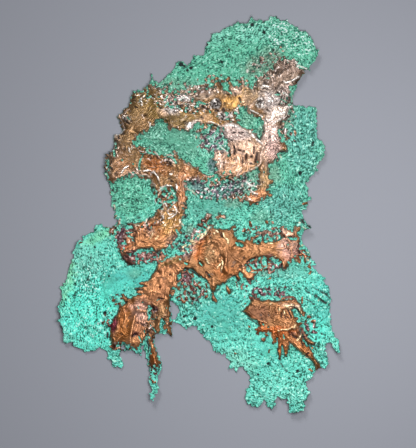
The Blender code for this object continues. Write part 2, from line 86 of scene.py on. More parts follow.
def distance(points, line, closed=True):
    """How far each plan point is from a line."""
    starts, ends = line_stretches(line, closed)
    nearest = np.full(len(points), np.inf)
    for start, end in zip(starts, ends):
        along = end - start
        offset = points - start
        share = np.clip(offset @ along / (along @ along), 0, 1)
        away = offset - share[:, None] * along
        nearest = np.minimum(nearest, (away ** 2).sum(axis=1))
    return np.sqrt(nearest)


def inside(points, loop):
    """Whether each plan point is inside a closed loop."""
    starts, ends = line_stretches(loop, True)
    x, y = points.T
    turns = np.zeros(len(points), dtype=int)
    for (x0, y0), (x1, y1) in zip(starts, ends):
        if y0 != y1:
            turns += ((y0 > y) != (y1 > y)) & (x < x0 + (y - y0) * (x1 - x0) / (y1 - y0))
    return turns % 2 == 1


def smooth(low, high, value):
    """0 below low, 1 above high, and a soft step between."""
    share = np.clip((value - low) / (high - low), 0, 1)
    return share * share * (3 - 2 * share)


def waves(points, length, seed):
    """Soft noise of about -1 to 1, its waves length plan units long. Each seed gives another pattern."""
    return np.array([noise.noise(Vector((x, y, seed))) for x, y in points / length])


def sheet_copy():
    """The sheet's solid as one joined mesh, its faces marked as top, wall or underside."""
    mesh = bmesh.new()
    mesh.from_mesh(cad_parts["copper_splash"].data)
    bmesh.ops.remove_doubles(mesh, verts=mesh.verts, dist=MERGE_DISTANCE)
    for face in mesh.faces:
        upward = face.normal.z
        beneath = UNDERSIDE if upward < -WALL_SLOPE else WALL
        face.material_index = TOP if upward > WALL_SLOPE else beneath
    return mesh


def cut_long_edges(mesh, allowed):
    """Halves each edge that is longer than allowed where it lies."""
    mesh.verts.index_update()
    places = np.array([corner.co for corner in mesh.verts])
    limit = allowed(plan_places(places)) * UNIT
    ends = np.array([[end.index for end in edge.verts] for edge in mesh.edges])
    hidden = np.array([all(face.material_index == UNDERSIDE for face in edge.link_faces)
                       for edge in mesh.edges])
    limit = np.where(hidden, UNDERSIDE_EDGE * UNIT, limit[ends].min(axis=1))
    length = np.linalg.norm(places[ends[:, 0]] - places[ends[:, 1]], axis=1)
    chosen = [edge for edge, long in zip(mesh.edges, length > limit) if long]
    bmesh.ops.subdivide_edges(mesh, edges=chosen, cuts=1)
    many_sided = [face for face in mesh.faces if len(face.verts) > 3]
    bmesh.ops.triangulate(mesh, faces=many_sided, quad_method="BEAUTY", ngon_method="BEAUTY")
    return len(chosen)


# Runs of bare copper
# Where the metal ran last it stands proud of the crust in smooth glossy tongues, with a rounded lip and a
# dark crevice along each edge. The crust fills islands and inlets between them. Runs and islands are given
# by their outlines.

RUNS = {
    "upper": [
        (128, 92), (136, 92), (146, 88), (150, 82), (156, 87), (165, 91), (174, 94), (186, 92), (200, 88),
        (210, 87.5), (214, 88), (216, 80), (219.5, 84), (224, 90), (231, 96), (229.5, 82), (233, 87),
        (240, 88), (242, 78), (245, 85), (255, 88), (257, 77), (261, 79), (264, 77), (270, 74), (272, 68),
        (274, 64), (279, 60), (284, 57), (291, 60), (295, 61), (298, 66), (303, 70), (308, 73), (304, 82),
        (299, 84), (295, 85), (290, 88), (290, 96), (289.5, 103), (294, 106), (291, 110), (288, 114),
        (290, 118), (286, 120), (281, 122), (279, 130), (280, 137), (284, 142), (287, 148), (287, 150.5),
        (279, 151.5), (278, 155), (276, 160), (269, 165), (268, 172), (270, 178), (274, 181),
        (273.5, 184.5), (270, 185), (267, 190), (271, 195), (266, 196), (261, 199.5), (255, 203),
        (251, 204), (246, 201), (241, 201), (244, 197), (252, 192), (257, 188), (258, 183), (257, 177),
        (259, 172), (257, 168), (252, 170), (246, 174.5), (240, 177), (233, 180.5), (228, 181), (222, 178),
        (216, 173.5), (210, 177), (205, 181.5), (198, 184), (190, 181.5), (186, 183), (186, 191),
        (188, 196), (186, 201), (184.5, 207), (184, 212), (187, 215), (182, 218), (181, 224), (181, 229),
        (182, 234), (175, 236), (172, 240), (170, 245), (169, 250), (164, 248), (161, 250), (158, 255),
        (155, 251), (152, 247), (146, 249), (141, 248), (137, 250), (132, 254), (124, 254), (122, 251),
        (126, 249), (135, 246), (134, 240), (135, 232), (132, 225), (130, 222), (137, 224.5), (146, 220.5),
        (154, 216), (157, 211.5), (161, 208), (163, 203), (160, 199), (157, 195), (155, 190),
        (151.5, 183.5), (150, 179), (143, 177.5), (135, 176), (124, 177.5), (115, 181), (106, 180),
        (98, 170), (100, 150), (108, 130), (112, 110), (122, 100),
    ],
    "middle": [
        (157, 264), (163, 262), (169, 259), (174, 257), (179, 254), (184, 252), (188, 248), (190, 243),
        (192, 238), (198, 238.5), (204, 236), (207, 230), (209.5, 224.5), (212, 225), (214, 228),
        (221, 229.5), (229, 230), (232, 226), (234, 225), (235, 231), (235.5, 237), (239, 239.5),
        (244, 241.5), (250, 238.5), (253, 243), (259, 245), (264, 241.5), (270, 243), (277, 240),
        (281, 237), (279.5, 231.5), (279, 228), (284, 226), (288, 229.5), (292, 230.5), (296, 226),
        (299.5, 228), (297.5, 233), (300, 241), (299, 247), (303, 249), (309, 255), (311, 260), (307, 261),
        (302, 256), (298, 257), (299, 262), (294, 260), (289, 262), (286, 268.5), (282.5, 269),
        (280.5, 263), (277, 259), (268, 257), (260, 256.5), (252, 260), (247.5, 264), (246, 269),
        (250, 272.5), (259, 271), (256, 275), (250, 280), (245.5, 278.5), (243, 274), (240, 271.5),
        (238.5, 274), (240, 281), (237.5, 280), (236, 275), (231, 276), (224, 283), (217.5, 285),
        (215.5, 290), (212, 291.5), (210, 286), (206, 280), (198, 275), (193, 269), (187, 268.5),
        (182, 271.5), (177.5, 275.5), (178, 281), (182, 284), (180, 288), (171, 289), (170, 296),
        (171, 312), (171.5, 318), (170, 321), (173, 324), (176, 330), (175, 340), (168, 340), (167, 333),
        (165.5, 325), (165, 320), (162, 320), (160, 326), (159, 340), (154, 339), (156, 349), (158, 356),
        (160.5, 362), (159, 367), (155, 368.5), (150, 366), (148, 362), (149, 356), (151, 351), (150, 344),
        (149, 340), (147, 334.5), (144, 340), (140, 345), (137, 350), (131, 344.5), (127, 346),
        (120, 341.5), (116, 346), (112, 344), (110.5, 337), (110, 330), (111.5, 323), (113.5, 318.5),
        (117, 315), (118.5, 310), (121, 306.5), (126, 305), (127, 301.5), (122, 299), (123, 294),
        (127, 298), (131, 299), (134, 296), (144, 294), (134, 291.5), (143, 290), (135, 288), (146, 286),
        (139, 283), (147, 281), (150.5, 278.5), (152.5, 274.5), (156, 272), (156.5, 268),
    ],
    "foot": [
        (243, 311), (245.5, 307.5), (250, 303.5), (252, 298), (256, 297.5), (262, 300.5), (268, 299.5),
        (276, 301.5), (284, 300), (295, 299), (300, 303.5), (303, 310), (305, 315), (303, 318.5),
        (300.5, 316), (298.5, 311), (294.5, 307.5), (291, 310), (294, 316), (298, 322.5), (300.5, 328),
        (301, 334), (306, 344), (311.5, 350), (313.5, 356), (318.5, 363), (322, 372), (317, 371),
        (312.5, 361), (306, 356), (299.5, 351), (294, 346), (289, 342), (288, 350), (286.5, 356),
        (284, 356), (283.5, 347), (282, 344), (281, 352), (279.5, 358.5), (277.5, 349), (278, 340),
        (276.5, 335), (276, 342.5), (273, 343), (272, 336), (268, 331.5), (266, 334), (264, 341),
        (262, 340), (263, 333.5), (256.5, 331), (256, 328.5), (260, 326), (257, 320.5), (250, 317),
    ],
    "hook": [
        (302, 331), (305, 333.5), (309, 339.5), (316, 342.5), (315, 345), (308, 344), (303, 338),
    ],
    "drops": [
        (227, 286), (230, 288.5), (231, 293), (228.5, 293.5), (226, 290),
    ],
    "bead": [
        (212, 293), (214.5, 296), (217.5, 301), (216, 303.5), (212.5, 299),
    ],
    "tube": [
        (202, 220), (207, 215.5), (212, 216), (209, 220), (203, 223),
    ],
    "capsule": [
        (214, 216.5), (220, 214.5), (226, 215), (225, 217.5), (217, 219.5),
    ],
    "dusk": [
        (117, 230), (122, 226), (128, 226), (133, 232), (135, 246), (128, 250), (137, 251), (155, 252),
        (165, 250), (168, 256), (157, 263), (148, 262), (137, 264), (128, 265), (123, 258), (118, 246),
        (115, 236),
    ],
    "crumbs": [
        (178, 268), (187, 269), (192, 275), (196, 284), (194, 292), (188, 288), (183, 280),
    ],
}
ISLANDS = {
    "clump": [
        (240, 106), (246, 108), (250, 112.5), (258, 118), (262.5, 123), (263.5, 130), (261, 138.5),
        (257.5, 138), (255, 132.5), (246, 129), (239, 125), (236, 118), (236.5, 110.5),
    ],
    "heart": [
        (152, 126), (157, 121), (163, 119.5), (167, 123), (170.5, 129.5), (178, 128.5), (188, 132),
        (193, 128), (197, 122.5), (202, 124.5), (213, 126), (221.5, 130.5), (227, 138), (229.5, 146),
        (229, 157), (224, 151.5), (218, 150), (214, 154), (213, 161), (217, 169), (215, 174.5),
        (208, 175.5), (202, 171), (195, 167), (188, 163), (181, 158.5), (175, 152), (168, 156),
        (161, 156.5), (152, 151.5), (143, 148.5), (135, 146), (132, 142), (138, 138), (137.5, 134.5),
        (148, 130),
    ],
    "isle": [
        (160, 190), (165, 187), (171, 187.5), (175, 191), (177, 197), (175.5, 202), (171, 205),
        (165, 202.5), (160.5, 197),
    ],
    "notch": [
        (237, 242), (241, 242.5), (245.5, 246), (241, 247.5), (236.5, 246),
    ],
    "hollow": [
        (147, 307), (151, 305), (152.5, 309), (150, 314), (151.5, 319), (148.5, 320), (147.5, 314),
    ],
}


def bare_depth(points):
    """How far each plan point is inside a run, in plan units, and negative on the crust."""
    bare = np.zeros(len(points), dtype=bool)
    edge = np.full(len(points), np.inf)
    for run in RUNS.values():
        bare |= inside(points, run)
        edge = np.minimum(edge, distance(points, run))
    for island in ISLANDS.values():
        bare &= ~inside(points, island)
        edge = np.minimum(edge, distance(points, island))
    return np.where(bare, edge, -edge)


def edge_allowed(points):
    """Longest edge wanted at each plan point, shorter on the runs and close beside them."""
    return np.where(bare_depth(points) > -RUN_MARGIN, RUN_EDGE, CRUST_EDGE)


def refined_sheet():
    """The sheet with small faces, and its facets softened into each other."""
    mesh = sheet_copy()
    for _ in range(CUTTING_ROUNDS):
        if not cut_long_edges(mesh, edge_allowed):
            break
    top = [corner for corner in mesh.verts if all(face.material_index == TOP for face in corner.link_faces)]
    for _ in range(SOFTENING_ROUNDS):
        bmesh.ops.smooth_vert(mesh, verts=top, factor=0.5, use_axis_x=False, use_axis_y=False,
                              use_axis_z=True)
    return mesh


sheet = refined_sheet()
sheet.verts.index_update()
places = np.array([corner.co for corner in sheet.verts])
normals = np.array([corner.normal for corner in sheet.verts])
points = plan_places(places)
kinds = [{face.material_index for face in corner.link_faces} for corner in sheet.verts]
on_top = np.array([TOP in kind for kind in kinds])
on_rim = np.array([WALL in kind for kind in kinds])
below = np.array([UNDERSIDE in kind for kind in kinds])

# Mixed ground
# Where a run thinned out it set as a net of specks, so metal and crust are mixed. The runs' edges are ragged
# above the waist of the splash and cleaner below it. Each oval place below is its x and y, half length, half
# width, turn and amount.

EDGE_RAGGEDNESS = 1.8
UPPER_RAGGEDNESS = 3.2
WAIST = (212, 238)
MIXED_RAGGEDNESS = 17.0
MOST_CRUST = -4.5
MOST_BARE = 5.0
STREAM_BENDS = 4.5
PLACE_RAGGEDNESS = 0.35
MIXED_GROUND = [
    (140, 96, 18, 9, 0.0, 0.8), (168, 102, 18, 11, 0.3, 1.0), (188, 106, 28, 10, 0.1, 1.0),
    (190, 92, 14, 6, 0.0, 0.5), (222, 186, 38, 12, -0.3, 1.0), (240, 192, 22, 9, -0.4, 1.0),
    (196, 180, 12, 6, 0.0, 0.7), (287, 128, 11, 18, 0.2, 0.9), (287, 98, 14, 13, 0.0, 0.7),
    (212, 138, 20, 15, 0.4, 1.0), (228, 116, 14, 9, 0.0, 0.9), (272, 291, 24, 7, 0.0, 1.0),
    (300, 254, 12, 10, 0.0, 0.7), (262, 264, 24, 7, -0.1, 0.9), (262, 232, 28, 10, 0.0, 0.8),
    (190, 290, 14, 18, 0.3, 0.9), (200, 232, 16, 10, -0.5, 0.9), (178, 243, 10, 12, 0.6, 0.7),
    (118, 232, 12, 14, 0.0, 0.8), (117, 300, 9, 9, 0.0, 0.6), (122, 347, 16, 6, 0.0, 1.0),
    (151, 334, 9, 13, -0.3, 0.8), (155, 374, 9, 12, 0.0, 1.0), (307, 323, 12, 10, 0.3, 0.9),
    (260, 333, 14, 7, 0.0, 0.5), (170, 161, 10, 7, 0.0, 1.0), (146, 153, 14, 6, 0.3, 0.8),
    (108, 140, 9, 16, 0.0, 0.8), (106, 165, 8, 14, 0.0, 0.9), (266, 62, 24, 10, -0.5, 0.6),
    (164, 198, 13, 13, 0.0, 0.9), (222, 80, 34, 6, 0.0, 0.6), (84, 245, 14, 7, -0.5, 0.3),
    (150, 226, 24, 6, -0.5, 0.6), (310, 262, 8, 14, 0.0, 0.5), (192, 292, 20, 16, 0.3, 1.0),
    (124, 236, 10, 15, 0.2, 1.0), (146, 257, 24, 7, 0.0, 1.0), (120, 112, 10, 8, -0.6, 0.7),
    (184, 246, 12, 14, 0.0, 0.9), (250, 284, 18, 7, -0.1, 0.6), (312, 328, 8, 7, 0.0, 0.9),
    (154, 312, 6, 10, 0.0, 0.7), (168, 322, 8, 8, 0.0, 0.5), (290, 330, 20, 8, 0.0, 0.3),
    (253, 292, 14, 8, -0.3, 0.7), (106, 320, 6, 16, 0.0, 0.6), (268, 72, 26, 14, -0.6, 0.3),
    (178, 88, 32, 8, 0.05, 0.6), (268, 266, 22, 9, -0.1, 1.0), (117, 127, 8, 13, 0.2, 0.5),
    (274, 233, 17, 8, 0.0, 0.9), (138, 172, 20, 6, 0.1, 0.5), (177, 292, 8, 8, 0.0, 0.6),
]


def spot(points, x, y, half_length, half_width, turn):
    """1 in the middle of an oval place and 0 outside it, with a ragged edge."""
    offset = points - (x, y)
    along = offset @ np.array((math.cos(turn), math.sin(turn))) / half_length
    across = offset @ np.array((-math.sin(turn), math.cos(turn))) / half_width
    away = np.hypot(along, across)
    near = away < 1.6
    result = np.zeros(len(points))
    shaken = away[near] + PLACE_RAGGEDNESS * waves(points[near], 4.5, x * 0.37 + y * 0.11)
    result[near] = 1 - smooth(0.45, 1.15, shaken)
    return result


def strongest(points, spots):
    """The strongest of some oval places at each plan point."""
    share = np.zeros(len(points))
    for x, y, half_length, half_width, turn, amount in spots:
        share = np.maximum(share, amount * spot(points, x, y, half_length, half_width, turn))
    return share


upper = 1 - smooth(*WAIST, points[:, 1])
mixed = strongest(points, MIXED_GROUND)
raggedness = EDGE_RAGGEDNESS + UPPER_RAGGEDNESS * upper + MIXED_RAGGEDNESS * mixed
even_depth = bare_depth(points)
stream = even_depth + STREAM_BENDS * waves(points, 15, 23.9)
stream += 0.5 * STREAM_BENDS * waves(points, 7, 29.3)
depth = np.clip(even_depth, MOST_CRUST + 3.3 * mixed, MOST_BARE - 1.5 * mixed)
depth += raggedness * (0.3 * waves(points, 5.0, 3.1) + 0.7 * waves(points, 2.7, 8.4))

# Crust
# The green crust grew on the metal in rounded granules 1 to 2 mm across, open like a sponge, with smoother
# skins in places. It is matt copper carbonate. Its finish has painted shade, deep green, in its pores and
# crevices, and painted highlights, pale, on its grains. Patches are a place, half sizes, turn, colour and
# strength, and pores are a place and a radius.

LUMP_SIZE = 8.5
LUMP_HEIGHT = 0.0012
GRANULE_SIZE = 3.1
FINE_GRANULE_SIZE = 1.8
PIT_SPACING = 6.0
GRAIN_HEIGHT = 0.0008
PORE_DEPTH = 0.0009
GREEN_TO_BLUE = (150, 270)
DEEP_GREEN = (100, 187, 156)
SEA_GREEN = (100, 181, 164)
TURQUOISE = (104, 212, 192)
TEAL = (80, 188, 174)
PALE_MINT = (154, 238, 214)
YELLOW_GREEN = (140, 218, 160)
JADE = (98, 163, 138)
LAGOON = (90, 170, 151)
MOSS = (122, 138, 116)
BRIGHT_AQUA = (98, 240, 216)
SLATE = (112, 124, 132)
CRUST_PATCHES = [
    ((250, 45), (70, 30), -0.5, DEEP_GREEN, 1.0), ((205, 72), (34, 14), -0.4, DEEP_GREEN, 1.0),
    ((304, 140), (22, 50), 0.0, SEA_GREEN, 1.0), ((285, 205), (30, 24), 0.0, SEA_GREEN, 1.0),
    ((128, 198), (26, 26), 0.0, DEEP_GREEN, 0.9), ((175, 140), (46, 20), 0.2, JADE, 1.0),
    ((250, 122), (16, 18), 0.7, DEEP_GREEN, 1.0), ((210, 206), (32, 18), 0.0, LAGOON, 1.0),
    ((128, 280), (30, 14), -0.25, TEAL, 1.0), ((112, 284), (16, 16), 0.0, TEAL, 0.8),
    ((222, 312), (30, 24), 0.3, TEAL, 1.0), ((224, 316), (28, 22), 0.3, LAGOON, 0.4),
    ((85, 262), (20, 26), 0.3, PALE_MINT, 0.35), ((68, 285), (9, 34), 0.1, YELLOW_GREEN, 0.6),
    ((100, 236), (22, 6), -0.5, YELLOW_GREEN, 0.5), ((280, 392), (36, 18), 0.0, PALE_MINT, 0.15),
    ((240, 360), (22, 12), 0.4, PALE_MINT, 0.5), ((270, 350), (20, 14), 0.5, TEAL, 0.4),
    ((75, 335), (20, 14), 0.0, PALE_MINT, 0.35), ((212, 165), (6, 10), 0.2, SLATE, 0.9),
    ((218, 142), (13, 12), 0.3, SLATE, 0.2), ((197, 187), (11, 6), 0.2, SLATE, 0.8),
    ((232, 188), (26, 9), -0.3, SLATE, 0.7), ((320, 304), (18, 34), 0.1, TEAL, 0.7),
    ((86, 312), (28, 42), 0.1, BRIGHT_AQUA, 1.0), ((262, 63), (26, 14), -0.5, MOSS, 0.8),
    ((287, 112), (9, 26), 0.1, MOSS, 0.5), ((190, 290), (22, 14), 0.3, MOSS, 0.35),
    ((250, 176), (20, 10), 0.0, MOSS, 0.4), ((178, 84), (30, 8), 0.05, MOSS, 0.35),
    ((105, 302), (15, 14), 0.0, BRIGHT_AQUA, 0.9), ((104, 336), (12, 16), 0.0, BRIGHT_AQUA, 0.6),
    ((256, 33), (26, 10), -0.2, PALE_MINT, 0.45), ((262, 217), (13, 9), 0.0, JADE, 0.8),
    ((286, 272), (28, 9), 0.0, SEA_GREEN, 0.9), ((191, 231), (8, 8), 0.0, MOSS, 0.7),
    ((275, 175), (8, 12), 0.0, MOSS, 0.5), ((247, 190), (16, 8), -0.3, MOSS, 0.6),
    ((261, 133), (7, 10), 0.0, MOSS, 0.7), ((219, 36), (13, 10), -0.5, PALE_MINT, 0.4),
    ((318, 330), (11, 13), 0.0, BRIGHT_AQUA, 0.6), ((289, 301), (12, 6), 0.0, MOSS, 0.6),
    ((205, 147), (9, 8), 0.0, PALE_MINT, 0.5), ((205, 288), (9, 8), 0.0, PALE_MINT, 0.4),
    ((234, 203), (12, 6), 0.0, MOSS, 0.5), ((261, 272), (12, 6), 0.0, MOSS, 0.35),
    ((134, 274), (9, 6), 0.0, JADE, 0.6), ((248, 119), (10, 11), 0.6, MOSS, 0.4),
    ((123, 286), (12, 7), -0.2, BRIGHT_AQUA, 0.4), ((317, 300), (9, 9), 0.0, BRIGHT_AQUA, 0.3),
]
SMOOTH_CRUST = [
    (128, 280, 28, 13, -0.25, 0.8), (112, 290, 14, 18, 0.0, 0.6), (222, 316, 26, 20, 0.5, 0.55),
    (210, 207, 26, 14, 0.0, 0.7), (270, 345, 24, 14, 0.5, 0.6), (285, 270, 22, 6, 0.2, 0.5),
    (185, 140, 26, 12, 0.2, 0.45), (215, 75, 24, 8, -0.4, 0.3), (320, 325, 12, 20, 0.2, 0.5),
    (88, 245, 18, 12, 0.0, 0.5),
]
FROSTED_CRUST = [
    (284, 32, 28, 20, 0.3, 0.9), (304, 46, 12, 16, 0.0, 0.8), (250, 24, 18, 10, -0.4, 0.5),
    (90, 280, 18, 26, 0.2, 0.5), (92, 325, 24, 18, 0.0, 0.5), (218, 142, 16, 14, 0.3, 1.0),
    (180, 106, 30, 8, 0.1, 0.9), (228, 190, 30, 9, -0.3, 0.2), (280, 392, 30, 18, 0.0, 0.2),
    (200, 320, 18, 20, 0.5, 0.4), (296, 345, 16, 16, 0.0, 0.3), (190, 244, 12, 12, 0.0, 0.4),
]
PITTED_CRUST = [
    (92, 275, 16, 26, 0.3, 0.5), (102, 305, 12, 12, 0.0, 0.1), (75, 255, 14, 16, 0.3, 0.3),
    (250, 40, 60, 26, -0.5, 0.3), (304, 150, 20, 46, 0.0, 0.4), (285, 205, 26, 22, 0.0, 0.5),
    (128, 198, 24, 22, 0.0, 0.3), (318, 340, 14, 26, 0.0, 0.5), (190, 305, 14, 20, 0.4, 0.7),
    (262, 235, 26, 10, 0.0, 0.8), (280, 290, 30, 8, 0.0, 0.7), (300, 372, 14, 14, 0.0, 0.5),
    (285, 395, 30, 16, 0.0, 0.2), (228, 190, 36, 12, -0.3, 1.0), (185, 244, 12, 14, 0.0, 0.9),
]
PORES = [
    (252, 25, 1.7), (264, 32.5, 1.6), (181, 64, 2.6), (184.5, 66, 1.8), (191, 68, 1.8), (187.5, 70.5, 1.3),
    (273, 50, 1.4), (313, 143, 1.3), (300, 173, 1.9), (195, 318.5, 1.8), (212, 326.5, 1.3),
    (105, 313, 1.8), (80.5, 340.5, 1.4), (78, 333.5, 1.4), (75, 284.5, 1.4), (75, 295, 1.4),
    (297, 24.5, 1.2), (206, 44, 1.5), (229, 50, 1.2), (222, 62, 1.2), (208, 68, 1.0), (86, 328, 1.3),
    (95, 247, 1.2), (92, 352, 1.4), (258, 374.5, 1.2), (268, 363.5, 1.3), (297.5, 371, 1.5),
    (109, 276, 1.0), (88, 310, 1.0),
]


def painted(colour):
    """A colour given as it looks, 0 to 255, as the light it gives."""
    share = np.array(colour) / 255
    return np.where(share <= 0.04045, share / 12.92, ((share + 0.055) / 1.055) ** 2.4)


def patched(points, ground, patches):
    """Colour of each plan point: the ground with soft patches laid over it in order."""
    colour = np.array(ground, dtype=float)
    for (x, y), (half_length, half_width), turn, paint, strength in patches:
        share = strength * spot(points, x, y, half_length, half_width, turn)
        colour += share[:, None] * (painted(paint) - colour)
    return colour


def grain_seeds(points, size, seed):
    """How far each plan point is from the nearest and next nearest of scattered seeds, in seed spacings."""
    length = 1.8 * size
    bend = 0.5 * size * np.column_stack((waves(points, length, seed), waves(points, length, seed + 5.3)))
    return np.array([noise.voronoi(Vector((x, y, seed)))[0][:2] for x, y in (points + bend) / size])


def granules(points, size, seed):
    """Rounded grains packed side by side: 0 in the crevices between them and 1 on their middles."""
    away = grain_seeds(points, size, seed)
    return smooth(0.02, 0.55, away[:, 1] - away[:, 0])


def pinholes(points, size, seed):
    """1 in scattered round holes and 0 between them."""
    return 1 - smooth(0.14, 0.34, grain_seeds(points, size, seed)[:, 0])


def crust_grain(points, open_share):
    """Height of the crust's granules, about -1 to 1, flatter where the crust has a smooth skin."""
    coarse = granules(points, GRANULE_SIZE, 11.7) - 0.5
    fine = granules(points, FINE_GRANULE_SIZE, 17.2) - 0.5
    return (0.9 * coarse + 0.5 * fine) * (0.3 + 0.7 * open_share)


def pore_depth(points):
    """1 in the middle of a pore and 0 outside it."""
    depth_there = np.zeros(len(points))
    for x, y, radius in PORES:
        depth_there = np.maximum(depth_there, 1 - smooth(0.5, 1.5, np.hypot(*(points - (x, y)).T) / radius))
    return depth_there


openness = np.clip(1 - strongest(points, SMOOTH_CRUST) + 0.4 * waves(points, 12, 67.3), 0.1, 1.2)
frost = strongest(points, FROSTED_CRUST)
lumps = granules(points, LUMP_SIZE, 83.1) - 0.6
grain = crust_grain(points, openness) + 0.35 * lumps
pitted = strongest(points, PITTED_CRUST)
pores = np.maximum(pore_depth(points), np.clip(0.2 + pitted, 0, 1) * pinholes(points, PIT_SPACING, 91.3))
downward = smooth(*GREEN_TO_BLUE, points[:, 1])[:, None]
crust_ground = painted(DEEP_GREEN) * (1 - downward) + painted(TURQUOISE) * downward
crust_colour = patched(points, crust_ground, CRUST_PATCHES)

# Bare metal
# The runs are bare copper, brown to orange and tarnished plum and maroon in places. Silver and pink patches
# where it is polished are painted reflection. It flowed in folds. It is shaded darker below the waist, and
# the second list of patches is laid over that shade.

LIP_HEIGHT = 0.0004
CREVICE_DEPTH = 0.00035
FOLD_HEIGHT = 0.0004
PINHOLE_DEPTH = 0.00016
PINHOLE_SPACING = 9.0
BROWN = (150, 100, 56)
OLIVE = (140, 110, 56)
RUST = (166, 96, 40)
ORANGE = (214, 112, 40)
GOLD = (204, 152, 84)
TAN = (162, 130, 90)
PEACH = (236, 180, 138)
